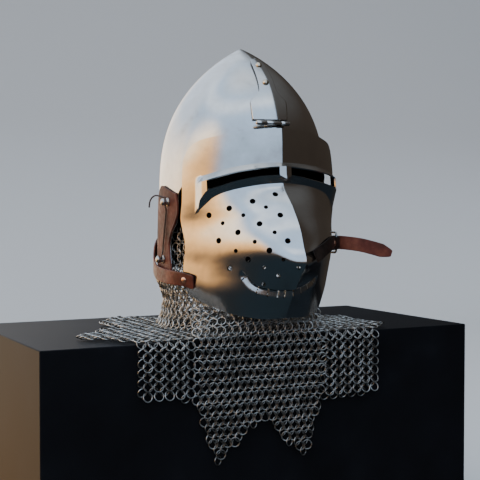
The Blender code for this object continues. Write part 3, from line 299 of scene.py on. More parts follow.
def dress(piece, material, slot, *nodes):
    """Gives a piece its material, hangs it on the body and hides the construction nodes it stands
    for.
    """
    piece.data.materials.append(material)
    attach(piece, BODY)
    if nodes:
        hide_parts(*nodes)
    return piece


def bevel(piece, width, segments, limit):
    """Rounds the edges sharper than a limit in degrees."""
    edge = piece.modifiers.new("edge", "BEVEL")
    edge.width = width
    edge.segments = segments
    edge.angle_limit = math.radians(limit)


def wall(piece, thickness, lining=False):
    """Gives a sheet its thickness inwards. With a lining, its inner face takes slot 1."""
    made = piece.modifiers.new("wall", "SOLIDIFY")
    made.thickness = thickness
    made.offset = -1.0
    made.use_even_offset = True
    made.material_offset = 1 if lining else 0
    return made


def mend(mesh, join=True, turn=False):
    """Joins points that lie together, and turns the faces out if asked."""
    shape = bmesh.new()
    shape.from_mesh(mesh)
    if join:
        bmesh.ops.remove_doubles(shape, verts=shape.verts, dist=1e-5)
    if turn:
        bmesh.ops.recalc_face_normals(shape, faces=shape.faces)
    shape.to_mesh(mesh)
    shape.free()


def grid_piece(name, points, sharp=40.0, closed=False, join=False, turn=False):
    """A grid of points as an object. One whose columns close a ring is always joined."""
    piece = new_mesh(name, points, grid_faces(*points.shape[:2], closed), sharp)
    if closed or join:
        mend(piece.data, turn=turn)
    return piece


def arc_length(points):
    """Distance run along a line of points, or down each column of a grid of them."""
    steps = np.linalg.norm(np.diff(points, axis=0), axis=-1)
    return np.concatenate([0 * steps[:1], np.cumsum(steps, axis=0)])


def at_distances(points, length, t):
    """Points at distances t along a smooth line through the given ones."""
    return np.stack([through(list(zip(length, column)), t) for column in points.T], axis=1)


def turned(profile, base, direction, sides):
    """A profile of (radius, height) carried round an axis: point = base + r (a cos t + b sin t)
    + h axis. Returns rows of points, the first and last rows at the axis if r is 0 there."""
    axis = unit(np.asarray(direction, float))
    helper = np.array([0.0, 0.0, 1.0]) if abs(axis[2]) < 0.9 else np.array([1.0, 0.0, 0.0])
    a = unit(np.cross(helper, axis))
    b = np.cross(axis, a)
    r, h = np.array(profile).T[:, :, None, None]
    t = full_turn(sides)[None, :, None]
    return np.asarray(base) + r * (a * np.cos(t) + b * np.sin(t)) + h * axis


def round_profile(points, steps=3):
    """A smooth line through (radius, height) rows, worked out by arc length."""
    points = np.asarray(points, float)
    length = arc_length(points)
    t = np.linspace(0, length[-1], steps * len(points))
    return at_distances(points, length, np.unique(np.concatenate([t, length])))


def turned_piece(name, profile, base, direction, sides, sharp=40.0):
    """A turned solid. The profile runs from the axis at the top to the axis at the bottom."""
    return grid_piece(name, turned(profile, base, direction, sides), sharp, True)


def make_rivet(name, profile, base, out, material, node):
    """A domed head turned about the direction out."""
    head = turned_piece(name, round_profile(profile), base, out, 32, 50)
    dress(head, material, "copper_rivet", node)


def tube(path, radius, sides):
    """Circles carried along a path: point = p + r (out cos t + up sin t), with closed ends."""
    path = np.asarray(path, float)
    along = unit(np.gradient(path, axis=0))
    up = unit(np.cross(along, unit(np.cross([0.31, 0.17, 0.93], along))))
    for number in range(1, len(path)):
        carried = up[number - 1] - along[number] * np.dot(up[number - 1], along[number])
        up[number] = carried / np.linalg.norm(carried)
    out = np.cross(up, along)
    t = full_turn(sides)[None, :, None]
    radius = np.broadcast_to(radius, len(path))[:, None, None]
    rings = path[:, None] + radius * (out[:, None] * np.cos(t) + up[:, None] * np.sin(t))
    ends = np.repeat(path[[0, -1], None], sides, axis=1)
    return np.concatenate([ends[:1], rings, ends[1:]])


def tube_piece(name, path, radius, sides, closed=False):
    """A tube along a path; a closed path has its last circle joined to its first."""
    points = tube(path, radius, sides)
    if not closed:
        return grid_piece(name, points, None, True, turn=True)
    points = points[1:-1]
    faces = grid_faces(len(points) + 1, sides, True) % (len(points) * sides)
    piece = new_mesh(name, points, faces, None)
    mend(piece.data, turn=True)
    return piece


def smooth_path(points, count):
    """Evenly spaced points along a smooth line through the given ones."""
    points = np.asarray(points, float)
    for _ in range(2):
        length = arc_length(points)
        points = at_distances(points, length, np.linspace(0, length[-1], count))
    return points


def cutter(name, points, faces):
    """A closed shape for cutting only. It is never shown."""
    mesh = bpy.data.meshes.new(name)
    mesh.from_pydata((points.reshape(-1, 3) + SEAT).tolist(), [], faces)
    mend(mesh, join=False, turn=True)
    return bpy.data.objects.new(name, mesh)


def cut(piece, tools):
    """Takes cutting shapes out of a piece, and keeps the result as its mesh."""
    for tool in tools:
        bpy.context.scene.collection.objects.link(tool)
        took = piece.modifiers.new("cut", "BOOLEAN")
        took.operation = "DIFFERENCE"
        took.solver = "MANIFOLD"
        took.object = tool
    graph = bpy.context.evaluated_depsgraph_get()
    made = bpy.data.meshes.new_from_object(piece.evaluated_get(graph))
    piece.modifiers.clear()
    old = piece.data
    piece.data = made
    made.name = old.name
    bpy.data.meshes.remove(old)
    for tool in tools:
        bpy.data.objects.remove(tool)
    made.shade_smooth()
    made.set_sharp_from_angle(angle=math.radians(35))


# ---- Materials ---------------------------------------------------------------
def linear(code):
    """An sRGB hex colour as linear red, green, blue, alpha."""
    parts = np.array([int(code[i:i + 2], 16) for i in (1, 3, 5)]) / 255
    parts = np.where(parts <= 0.04045, parts / 12.92, ((parts + 0.055) / 1.055) ** 2.4)
    return (*parts.tolist(), 1.0)


def new_material(name):
    made = bpy.data.materials.new(name)
    made.use_nodes = True
    made.node_tree.nodes.clear()
    return made


def placed_material(name):
    """A new material, its tree, and the object's own coordinates in it."""
    made = new_material(name)
    tree = made.node_tree
    return made, tree, add(tree, "TexCoord").outputs["Object"]


def add(tree, kind, inputs=None):
    """Adds a node. Inputs are properties by name, or what a socket takes, by its name or
    number: a value, or the output that feeds it."""
    node = tree.nodes.new("ShaderNode" + kind)
    for key, value in (inputs or {}).items():
        if isinstance(value, bpy.types.NodeSocket):
            tree.links.new(value, node.inputs[key])
        elif isinstance(key, str) and key not in node.inputs:
            setattr(node, key, value)
        else:
            node.inputs[key].default_value = value
    return node


def noise(tree, place, scale, detail, rough=0.5):
    """Cloudy noise at a place."""
    return add(tree, "TexNoise", {"Scale": scale, "Detail": detail, "Roughness": rough,
                                            "Vector": place}).outputs[0]


def bump(tree, height, strength, distance, under=None):
    """A bump from a height, laid over another bump if one is given."""
    made = add(tree, "Bump", {"Strength": strength, "Distance": distance,
                                        "Height": height})
    if under is not None:
        tree.links.new(under, made.inputs["Normal"])
    return made.outputs[0]


def ramp(tree, source, stops):
    """A colour ramp from (position, hex) stops."""
    node = add(tree, "ValToRGB", {0: source})
    marks = node.color_ramp.elements
    while len(marks) < len(stops):
        marks.new(0.5)
    for mark, (place, code) in zip(marks, stops):
        mark.position = place
        mark.color = linear(code)
    return node.outputs[0]


def spread(tree, source, low, high, to_low=0.0, to_high=1.0, way="LINEAR"):
    """Maps a value from one range to another."""
    return add(tree, "MapRange", {"interpolation_type": way, "From Min": low,
                                            "From Max": high, "To Min": to_low,
                                            "To Max": to_high, "Value": source}).outputs[0]


def finish_material(made, inputs):
    """Ends a material with a principled shader."""
    shader = add(made.node_tree, "BsdfPrincipled", inputs)
    add(made.node_tree, "OutputMaterial", {0: shader.outputs[0]})
    return made


def polished_plate():
    """Mild steel plate, raised by hammer and mirror-polished on a buff. It gives the eye a
    clear but slightly wavering reflection, with hair-fine scratches and soft handling marks."""
    made, tree, place = placed_material("polished_mild_steel")
    smudge = noise(tree, place, 24.0, 6.0, 0.62)
    grain = add(tree, "Mapping", {"Scale": (1.0, 1.0, 9.0), "Vector": place}).outputs[0]
    colour = ramp(tree, smudge, ((0.35, "#CFCDC9"), (0.62, "#C3C0BB"), (0.8, "#A9A29A")))
    low = bump(tree, noise(tree, place, 38.0, 1.5), 0.08, 0.004)
    high = bump(tree, noise(tree, grain, 420.0, 3.0), 0.05, 0.0003, low)
    rough = spread(tree, smudge, 0.35, 0.75, 0.13, 0.24)
    return finish_material(made, {"Metallic": 1.0, "Base Color": colour, "Roughness": rough,
                                  "Normal": high})


def scaled_plate_painted_shade():
    """The inside of the plate, scaled from the forge and oiled. Its nearly black colour is painted
    shade, so the helmet reads as a deep, unlit hollow and its holes look dark; it is blotchy and
    dull.
    On the hinge plate's rim it is a painted shadow line."""
    made, tree, place = placed_material("forge_scale_and_painted_shade")
    scale = noise(tree, place, 90.0, 6.0)
    colour = ramp(tree, scale, ((0.35, "#141210"), (0.6, "#24211E"), (0.8, "#3A332C")))
    return finish_material(made, {"Metallic": 0.4, "Roughness": 0.6, "Base Color": colour,
                                  "Normal": bump(tree, scale, 0.3, 0.0005)})


def dull_fittings():
    """Turned and filed steel, left from the file and handled. It is softer and darker than the
    plate, with a satin sheen."""
    made, tree, place = placed_material("filed_steel")
    marks = noise(tree, place, 260.0, 4.0)
    colour = ramp(tree, marks, ((0.3, "#8E8A84"), (0.6, "#BDB9B2"), (0.8, "#CFCBC4")))
    return finish_material(made, {"Metallic": 1.0, "Base Color": colour,
                                  "Roughness": spread(tree, marks, 0.3, 0.7, 0.24, 0.42),
                                  "Normal": bump(tree, marks, 0.15, 0.0003)})


def ring_wire():
    """Galvanised steel wire, wound into rings and tumbled. It is pale grey with a dull sheen,
    and each ring is a little lighter or darker than the next."""
    made, tree, place = placed_material("galvanised_wire_rings")
    each = add(tree, "Attribute", {"attribute_name": "ring"}).outputs["Fac"]
    grime = noise(tree, place, 300.0, 3.0)
    shade = add(tree, "Math", {"operation": "MULTIPLY_ADD", 0: each, 1: 0.55, 2: grime})
    colour = ramp(tree, shade.outputs[0], ((0.35, "#7C7973"), (0.75, "#A5A29B"), (1.0, "#C4C1BA")))
    return finish_material(made, {"Metallic": 1.0, "Base Color": colour,
                                  "Roughness": spread(tree, grime, 0.3, 0.7, 0.24, 0.40)})


def rivet_metal(name, dark, middle, light):
    """Soft rivet metal, peened into a head. It has a low sheen, small dents and uneven tone."""
    made, tree, place = placed_material(name)
    dents = add(tree, "TexVoronoi", {"Scale": 700.0, "Vector": place}).outputs[0]
    tone = noise(tree, place, 260.0, 3.0)
    colour = ramp(tree, tone, ((0.3, dark), (0.55, middle), (0.75, light)))
    return finish_material(made, {"Metallic": 1.0, "Roughness": 0.34, "Base Color": colour,
                                  "Normal": bump(tree, dents, 0.25, 0.0004)})


def leather(name, dark, middle, light, gloss):
    """Vegetable-tanned cowhide, dyed and waxed. It has fine pebbled grain about 0.8 mm across,
    cloudy dye and a soft waxy sheen."""
    made, tree, place = placed_material(name)
    clouds = noise(tree, place, 42.0, 5.0, 0.6)
    pebbles = add(tree, "TexVoronoi", {"Scale": 1250.0, "Vector": place}).outputs[0]
    creases = noise(tree, place, 210.0, 6.0)
    colour = ramp(tree, clouds, ((0.3, dark), (0.5, middle), (0.72, light)))
    rough = spread(tree, creases, 0.3, 0.7, gloss, gloss + 0.2)
    coarse = bump(tree, creases, 0.35, 0.0008)
    return finish_material(made, {"Specular IOR Level": 0.22, "Base Color": colour,
                                  "Roughness": rough,
                                  "Normal": bump(tree, pebbles, 0.25, 0.0003, coarse)})


def cord_thread():
    """Waxed linen thread, twisted. It is nearly black and has a faint spiral of strands."""
    made, tree, place = placed_material("waxed_linen_cord")
    strands = add(tree, "TexWave", {"Scale": 190.0, "Distortion": 1.0,
                                              "Vector": place}).outputs[0]
    colour = ramp(tree, strands, ((0.2, "#1C1210"), (0.8, "#3A2823")))
    return finish_material(made, {"Roughness": 0.5, "Base Color": colour,
                                  "Normal": bump(tree, strands, 0.4, 0.0004)})


def plinth_paint():
    """Fibreboard rolled with matt emulsion. It is nearly black, with a faint roller stipple
    and a thin dusty bloom."""
    made, tree, place = placed_material("matt_emulsion_board")
    dust = noise(tree, place, 14.0, 5.0)
    colour = ramp(tree, dust, ((0.3, "#09090B"), (0.6, "#0C0D10"), (0.8, "#121317")))
    stipple = bump(tree, noise(tree, place, 900.0, 2.0), 0.15, 0.0004)
    return finish_material(made, {"Roughness": 0.55, "Specular IOR Level": 0.1,
                                  "Base Color": colour, "Normal": stipple})


# ---- The plate ---------------------------------------------------------------
# Degrees from the face at which the skull's wall begins, at each height.
SKULL_FACE = ((0.0800, 86.0), (0.1130, 88.0), (0.1250, 86.5), (0.1420, 79.0), (0.1540, 77.5),
              (0.1760, 76.5), (0.1880, 71.0), (0.1990, 62.0), (0.2080, 45.0), (0.2120, 25.0),
              (0.2135, 0.0))
# Rows of the visor in each stretch between its named lines; the third holds the eye slits.
ROW_COUNTS = (26, 7, 4, 12, 44, 14, 3, 7, 16)
BACK_START = 50.0                       # degrees: columns past this are stretched to the edge
VISOR_END = 64.5                        # degrees of its last column
BLADE_DEEP = 0.0078                     # how far a cutting blade goes to each side of the plate


def make_skull(material, inside):
    """Rows of the pointed oval from its point down. Below the face opening's top each row is
    squeezed to start at the opening's edge: angle = edge + (360 - 2 edge) share."""
    upper = APEX_Z - (APEX_Z - SKULL_FACE[-1][0]) * np.linspace(0, 1, 90) ** 1.5
    lower = np.concatenate([np.linspace(0.2133, 0.2085, 14), np.linspace(0.2075, RIM_Z, 56)])
    z = np.concatenate([upper, lower])[:, None]
    edge = np.where(z > SKULL_FACE[-1][0], 0.0, through(SKULL_FACE, z))
    share = np.linspace(0, 1, 301)[None, :]
    angle = np.radians(edge + (360 - 2 * edge) * share)
    skull = grid_piece("helmet_skull", skull_point(angle, z + 0 * share), join=True)
    # The inner face takes the inside material: nearly black, painted shade for the hollow.
    wall(skull, STEEL, True)
    dress(skull, material, "steel_plate", "skull")
    skull.data.materials.append(inside)


def visor_rows(degrees):
    """Heights of the visor's rows at each column, between its named lines."""
    side = np.abs(degrees)
    top, crease, jaw, flare = (through(t, side) for t in (TOP_EDGE, CREASE, JAW_EDGE, FLARE))
    upper, lower = (through(t, degrees) for t in (SLIT_UPPER, SLIT_LOWER))
    flare = np.minimum(upper + flare, top - TOP_CLEAR)
    mouth = through(MOUTH, degrees)
    foot = np.maximum(mouth - TOOTH_TALL - TOOTH_GAP, jaw + CHIN_CLEAR)
    lines = (top, flare, upper, lower, crease, TIP_Z + 0 * side, mouth + FOLD, mouth - FOLD,
             foot, jaw)
    rows = [lines[0][None]]
    for start, end, count in zip(lines, lines[1:], ROW_COUNTS):
        share = np.linspace(0, 1, count + 1)[1:, None]
        rows.append(start + (end - start) * share)
    return np.concatenate(rows)


def to_back_edge(degrees, z):
    """Stretches the outer columns so that the last one lies on the visor's rear edge."""
    side = np.abs(degrees)
    reach = (through(BACK_EDGE, z) - BACK_START) / (VISOR_END - BACK_START)
    stretched = BACK_START + (side - BACK_START) * reach
    return np.sign(degrees) * np.where(side > BACK_START, stretched, side)


def drill(place, out, radius, depth=0.007, sides=24):
    """A round bit as points and faces."""
    ring = turned(((radius, depth), (radius, -depth)), place, out, sides)
    faces = grid_faces(2, sides, closed=True).tolist()
    return ring, faces + [list(range(sides)), list(range(2 * sides - 1, sides - 1, -1))]


def breath_holes():
    """Rows of round holes: place = rear + (front - rear) share^spread, height = rear + (front -
    rear) share, each drilled along the plate's outward direction."""
    tools = []
    for count, radius, rear, rear_z, front, front_z in HOLE_ROWS:
        for part in np.linspace(0, 1, count):
            degrees = -(rear + (front - rear) * part ** HOLE_SPREAD)
            z = rear_z + (front_z - rear_z) * part
            bit = drill(visor_point(degrees, z), visor_normal(degrees, z), radius)
            tools.append(cutter("bit", *bit))
    return tools


def blade(middle, out, half_tall, half_deep, up):
    """A thin blade along a line of points: four edges carried with it, and closed ends."""
    corners = ((1, 1), (-1, 1), (-1, -1), (1, -1))
    points = np.stack([middle + deep * half_deep * out + up * (tall * half_tall)
                       for deep, tall in corners], axis=1)
    faces = grid_faces(len(middle), 4, closed=True).tolist()
    last = 4 * (len(middle) - 1)
    return points, faces + [[0, 1, 2, 3], [last + 3, last + 2, last + 1, last]]


def mouth_tools():
    """The slit along the smile, and the short cuts across its lower side that part the
    teeth."""
    degrees = np.linspace(*MOUTH_ENDS, 60)
    line = through(MOUTH, degrees)
    out = visor_normal(degrees, line)
    middle = visor_point(degrees, line, 0, False)
    across = unit(np.cross(out, unit(np.gradient(middle, axis=0))))
    tools = [cutter("smile", *blade(middle, out, MOUTH_GAPE / 2, BLADE_DEEP, across))]
    for at in TOOTH_CUTS:
        place = np.array([at - 0.3, at, at + 0.3])
        flat = np.stack([place * CHEEK_DEGREE, through(MOUTH, place)], 1)
        slope = unit(flat[2] - flat[0])
        step = np.linspace(-0.0002, TOOTH_TALL + TOOTH_GAP, 6)
        turn = at + slope[1] * step / CHEEK_DEGREE
        z = flat[1, 1] - slope[0] * step
        middle = visor_point(turn, z, 0, False)
        out = np.repeat(visor_normal(turn.mean(), z.mean())[None], 6, axis=0)
        sideways = unit(np.cross(out, unit(np.gradient(middle, axis=0))))
        tools.append(cutter("tooth", *blade(middle, out, TOOTH_CUT / 2, BLADE_DEEP, sideways)))
    return tools


def make_visor(material, inside):
    """The visor's rows and columns as one sheet, its eye slits left open, its wall given, and
    then its holes and mouth cut."""
    stops = (-VISOR_END, SLIT_ENDS[0], -SLIT_INNER, 0.0, SLIT_INNER, SLIT_ENDS[1], VISOR_END)
    counts = (48, 90, 8, 8, 90, 44)
    degrees = np.concatenate([[stops[0]]] + [np.linspace(a, b, n + 1)[1:] for a, b, n
                                             in zip(stops, stops[1:], counts)])
    heights = visor_rows(degrees)
    turn = to_back_edge(np.broadcast_to(degrees, heights.shape), heights)
    points = visor_point(turn, heights)
    faces = grid_faces(*heights.shape).reshape(heights.shape[0] - 1, -1, 4)
    middle = 0.5 * (degrees[1:] + degrees[:-1])
    keep = np.ones(faces.shape[:2], bool)
    is_open = (np.abs(middle) > SLIT_INNER) & (middle > SLIT_ENDS[0]) & (middle < SLIT_ENDS[1])
    keep[sum(ROW_COUNTS[:2]):sum(ROW_COUNTS[:3])] = ~is_open
    visor = new_mesh("visor_plate", points, faces[keep], None)
    visor.data.materials.append(material)
    visor.data.materials.append(inside)
    # The inner face takes the inside material: nearly black, painted shade for the hollow.
    wall(visor, STEEL, True)
    cut(visor, breath_holes() + mouth_tools())
    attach(visor, BODY)
    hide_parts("visor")


# ---- The hinge on the brow ---------------------------------------------------
HINGE_Z = 0.2635
HINGE_X = -0.009
HINGE_R = 0.0029
PIN_R = 0.0013
KNUCKLES = (-0.0225, -0.0085, 0.0115, 0.0225)
FISHTAIL = ((0.2672, 0.0222), (0.2800, 0.0232), (0.2900, 0.0235), (0.2985, 0.0155),
            (0.3050, 0.0108), (0.3280, 0.0095), (0.3420, 0.0085), (0.3490, 0.0050))
PLATE_OUT = 0.0028
PLATE_THICK = 0.0017
HINGE_CLEAR = 0.0012                    # how far the knuckles clear the forehead's crease
KNUCKLE_GAP = 0.0002                    # half the play between two knuckles
KNUCKLE_EDGE = (0.0004, 0.0005)         # how far a knuckle's end is rounded: in, along
LEAF_DEGREES = (-9.5, 0.3)
LEAF_Z = (0.2560, 0.2400)
LEAF_THICK = 0.0014
PLATE_LEAN = 0.010 / 0.0815             # how the plate follows the point as it rises
PLATE_ROUND = (0.3445, 0.0045)          # where its round top begins, and how tall that is
RIVET_PLACES = ((-0.0008, 0.3385), (-0.0040, 0.3145))
RIVET_HEAD = ((0.0, 0.0034), (0.0012, 0.0033), (0.0025, 0.0027), (0.0036, 0.0016),
              (0.0042, 0.0004), (0.0042, 0.0), (0.0, 0.0))


def on_skull(x, z, out):
    """A point on the front of the skull at a given x, and the outward direction there."""
    x, z = np.broadcast_arrays(np.asarray(x, float), np.asarray(z, float))
    low, high = np.radians(-80.0) + 0 * x, np.radians(80.0) + 0 * x
    for _ in range(40):
        middle = (low + high) / 2
        left = skull_point(middle, z)[..., 0] < x
        low, high = np.where(left, middle, low), np.where(left, high, middle)
    normal = skull_normal(np.degrees(low), z)
    return skull_point(low, z) + out * normal, normal


def hinge_place():
    """The pin's middle, just clear of the forehead's crease."""
    front = skull_point(0.0, HINGE_Z)[1]
    return np.array([HINGE_X, front - HINGE_R - HINGE_CLEAR, HINGE_Z])


def make_hinge_plate(material, rim_shadow):
    """A fishtail sheet lying on the skull: x = middle(z) + half(z) share, from its round top
    down to the hinge."""
    z = np.linspace(FISHTAIL[-1][0], FISHTAIL[0][0], 64)[:, None]
    share = np.linspace(-1, 1, 33)[None, :]
    start, tall = PLATE_ROUND
    tip = np.sqrt(np.clip(1 - np.clip((z - start) / tall, 0, 1) ** 2, 0.01, 1))
    half = through(FISHTAIL, np.minimum(z, start)) * tip
    x = HINGE_X + PLATE_LEAN * (z - HINGE_Z) + half * share
    points, _ = on_skull(x, z + 0 * share, PLATE_OUT)
    plate = grid_piece("hinge_plate_fishtail", points, 60)
    # Its rim takes the near-black inside material: a painted shadow line along the gap round the
    # plate.
    wall(plate, PLATE_THICK).material_offset_rim = 1
    dress(plate, material, "steel_plate", "hinge_plate")
    plate.data.materials.append(rim_shadow)


def make_hinge(material):
    """Three knuckles with rounded ends on a pin with peened heads, and the leaf inside."""
    middle = hinge_place()
    ends = zip(KNUCKLES, KNUCKLES[1:], ("right", "middle", "left"))
    for start, end, name in ends:
        start, end = start + KNUCKLE_GAP, end - KNUCKLE_GAP
        bore = PIN_R + 0.0001
        inward, along = KNUCKLE_EDGE
        profile = ((bore, end), (HINGE_R - inward, end), (HINGE_R, end - along),
                   (HINGE_R, start + along), (HINGE_R - inward, start), (bore, start),
                   (bore, end))
        knuckle = turned_piece(f"knuckle_{name}", profile, middle, (1, 0, 0), 32)
        dress(knuckle, material, "steel_plate", f"hinge_knuckle_{name}")
    half = KNUCKLES[-1] + 0.0006
    profile = ((0.0, half + 0.0006), (PIN_R, half + 0.0004), (PIN_R + 0.0005, half),
               (PIN_R, half - 0.0005), (PIN_R, 0.0005 - half), (PIN_R + 0.0005, -half),
               (PIN_R, -half - 0.0004), (0.0, -half - 0.0006))
    pin = turned_piece("hinge_pin_peened", profile, middle, (1, 0, 0), 24)
    dress(pin, material, "steel_plate", "hinge_pin")
    z = np.linspace(*LEAF_Z, 18)[:, None]
    degrees = np.linspace(*LEAF_DEGREES, 20)[None, :]
    points = visor_point(degrees + 0 * z, z + 0 * degrees, -STEEL - 0.0006)
    leaf = grid_piece("hinge_leaf_inside", points)
    wall(leaf, LEAF_THICK)
    dress(leaf, material, "steel_plate", "hinge_leaf")


def make_hinge_rivets(material):
    """Two domed heads on the hinge plate."""
    for number, (x, z) in enumerate(RIVET_PLACES, 1):
        base, normal = on_skull(x, z, PLATE_OUT + 0.0001)
        make_rivet(f"copper_rivet_{number}", RIVET_HEAD, base, normal, material,
                   f"hinge_rivet_{number}")


# ---- The leather band, its vervelles and their cord ---------------------------
LEATHER = 0.0022
BAND_OUT = 0.0030                       # the leather's outer face over the skull
BAND_FRONT = ((0.0770, 83.0), (0.0850, 83.8), (0.1005, 86.0), (0.1130, 87.0), (0.1274, 83.8),
              (0.1435, 78.1), (0.1541, 75.7), (0.1634, 75.7), (0.1796, 78.1))
BAND_TOP = ((75, 0.1770), (80, 0.1785), (90, 0.1840), (97, 0.1880), (104, 0.1780),
            (113, 0.1280), (122, 0.1150), (180, 0.1150))
BAND_LOW = 0.0775
VERVELLES = ((88.0, 0.1672), (94.5, 0.0940), (138, 0.0915), (159, 0.0915), (180, 0.0915))
VERVELLE_PROFILE = ((0.0, 0.0100), (0.0019, 0.0098), (0.0034, 0.0090), (0.0044, 0.0077),
                    (0.0046, 0.0069), (0.0044, 0.0059), (0.0036, 0.0045), (0.0035, 0.0029),
                    (0.0040, 0.0016), (0.0052, 0.0010), (0.0054, 0.0004), (0.0053, 0.0), (0.0, 0.0))
CORD_R = 0.0011
CORD_TURN = 0.0025                      # half the length in which its strands turn once
CORD_LIFT = 0.0066                      # the cord's middle over the skull, at a vervelle
CORD_STRAIGHT = 0.0052                  # how far it runs straight to each side of a vervelle
CORD_REST = 0.0005                      # its gap over the leather between the vervelles
CORD_DIPS = (0.2, 0.35, 0.5, 0.65, 0.84)
NAPE_DIPS = (0.3, 0.5, 0.7)
CORD_FREE = ((-0.0030, 0.0050, 0.0066), (-0.0080, 0.0110, 0.0082), (-0.0115, 0.0165, 0.0052),
             (-0.0128, 0.0205, -0.0006), (-0.0130, 0.0218, -0.0070))


def folds(angle, z):
    """Shallow hanging folds in the leather, stronger at its free lower edge."""
    loose = 1 - smooth_step(z, BAND_LOW, 0.15)
    return 0.0011 * loose * (np.sin(17 * angle + 1.3) + 0.6 * np.sin(29 * angle + 40 * z))


def make_band(material):
    """Leather over the skull's lower edge. Each row starts at the front edge's angle for its
    own height, runs round the nape, and stops at the same place on the other side."""
    share = np.linspace(0, 2, 361)[None, :]
    k = np.linspace(1, 0, 64)[:, None]
    start = np.full(np.broadcast_shapes(share.shape, k.shape), BAND_FRONT[0][1])
    for _ in range(12):
        angle = np.where(share <= 1, start + (180 - start) * share,
                         180 + (180 - start) * (share - 1))
        side = np.where(angle > 180, 360 - angle, angle)
        z = BAND_LOW + (through(BAND_TOP, side) - BAND_LOW) * k
        start = through(BAND_FRONT, z)
    edge = np.minimum(share, 2 - share) / 0.012
    curl = 0.0007 * np.clip(1 - edge, 0, 1)
    turn = np.radians(angle)
    lift = BAND_OUT + np.maximum(folds(turn, z), -0.0002) + curl
    band = grid_piece("aventail_leather", skull_point(turn, z, lift), None)
    wall(band, LEATHER)
    bevel(band, 0.0006, 2, 60)
    return dress(band, material, "band_leather", "aventail_band")


def all_vervelles():
    """The vervelles' places from the wearer's left cheek round the nape, the right side
    mirrored from the left: angle = 360 - angle."""
    return list(VERVELLES) + [(360 - turn, z) for turn, z in reversed(VERVELLES[:-1])]


def joined(name, parts, sharp=40.0):
    """One mesh from (points, faces) parts laid end to end."""
    start = np.cumsum([0] + [len(points.reshape(-1, 3)) for points, _ in parts])
    points = np.concatenate([points.reshape(-1, 3) for points, _ in parts])
    faces = np.concatenate([faces + first for (_, faces), first in zip(parts, start)])
    piece = new_mesh(name, points, faces, sharp)
    mend(piece.data)
    return piece


def make_vervelles(material):
    """Nine turned studs, each with a collar on the leather and a waist under its head."""
    parts = []
    for degrees, z in all_vervelles():
        out = skull_normal(degrees, z)
        base = skull_point(np.radians(degrees), z) + (BAND_OUT + 0.0002) * out
        points = turned(round_profile(VERVELLE_PROFILE), base, out, 28)
        parts.append((points, grid_faces(*points.shape[:2], closed=True)))
    studs = joined("vervelle_studs", parts, 60)
    return dress(studs, material, "steel_plate", *[f"vervelle_{n}" for n in range(1, 10)])


def cord_path():
    """The cord threads the studs, dipping to the leather between them, with a free end."""
    places = all_vervelles()
    points = []
    for number, (degrees, z) in enumerate(places):
        out = skull_normal(degrees, z)
        here = skull_point(np.radians(degrees), z) + CORD_LIFT * out
        if number in (0, len(places) - 1):
            along = np.array([0.0, 0.0, -1.0 if number == 0 else 1.0])
        else:
            before, after = places[number - 1], places[number + 1]
            along = (skull_point(np.radians(after[0]), after[1])
                     - skull_point(np.radians(before[0]), before[1]))
        along = unit(along - out * np.dot(along, out))
        points += [here - CORD_STRAIGHT * along, here + CORD_STRAIGHT * along]
        if number + 1 < len(places):
            after, after_z = places[number + 1]
            for part in CORD_DIPS if number != 4 else NAPE_DIPS:
                turn = degrees + (after - degrees) * part
                h = z + (after_z - z) * part
                side = skull_normal(turn, h)
                lift = BAND_OUT + CORD_REST + CORD_R + max(0.0, float(folds(np.radians(turn), h)))
                points.append(skull_point(np.radians(turn), h) + lift * side)
    return np.array(points + list(here + np.array(CORD_FREE)))


def make_cord(material):
    """A twisted cord: its radius rises and falls twice round, turning once each 5 mm."""
    path = smooth_path(cord_path(), 900)
    points = tube(path, CORD_R, 10)
    turn = full_turn(10)[None, :]
    swell = 0.9 + 0.14 * np.cos(2 * turn - arc_length(path)[:, None] * 2 * math.pi / CORD_TURN)
    points[1:-1] = path[:, None] + (points[1:-1] - path[:, None]) * swell[:, :, None]
    cord = grid_piece("waxed_cord_twist", points, None, True)
    return dress(cord, material, "waxed_cord", "lacing_cord")


# ---- The nape strap and its buckle ---------------------------------------------
STRAP_WIDE = 0.018
STRAP_POINTS = 78                       # how many points its line is first drawn through
STRAP_FINE = 420                        # and how many it is carried along
STRAP_LIFT = 0.0071                     # the strap's middle over the skull
STRAP_TILT = ((0, 17), (3, 15), (7, 0), (8, 0), (78, 0))
STRAP_VISOR = ((-60.3, 0.0686), (-63.0, 0.0697), (-65.8, 0.0714))
STRAP_SKULL = ((272, 0.0740), (262, 0.0760), (250, 0.0820), (240, 0.0935), (230, 0.1070),
               (215, 0.1180), (195, 0.1215), (180, 0.1215), (165, 0.1210), (150, 0.1180),
               (135, 0.1160), (120, 0.1145), (105, 0.1140), (95, 0.1135))
STRAP_FREE = ((-0.0040, 0.0160, 0.0), (-0.0034, 0.0090, 0.0), (-0.0010, 0.0030, 0.0),
              (0.0030, -0.0040, 0.0), (0.0064, -0.0105, -0.0002), (0.0135, -0.0190, -0.0010),
              (0.0250, -0.0290, -0.0030), (0.0400, -0.0400, -0.0075), (0.0590, -0.0530, -0.0145))
RIVET_FROM_END = 0.0145
BUCKLE = np.array([0.1185, -0.0960, 0.1135])
BUCKLE_LONG = 0.0200
BUCKLE_TALL = 0.0270
BUCKLE_WIRE = 0.0014
TONGUE_R = 0.0011
TONGUE_WRAP = 0.0027                    # radius of the tongue's bend round the frame
TAB_LIFT = 0.0014
TAB_POINTS = 90
TAB_WIDE = 0.0165
# The tab's middle on the visor's left cheek: degrees, height.
TAB_LINE = ((8, 0.1022), (10, 0.1042), (16, 0.1090), (22, 0.1130), (28, 0.1157), (34, 0.1164),
            (40, 0.1156), (46.3, 0.1143), (51.5, 0.1134), (57, 0.1125))
TAB_RIVET = (50.0, 0.1136)
SMALL_HEAD = ((0.0, 0.0021), (0.0014, 0.0020), (0.0028, 0.0015), (0.0038, 0.0006),
              (0.0040, 0.0), (0.0, 0.0))


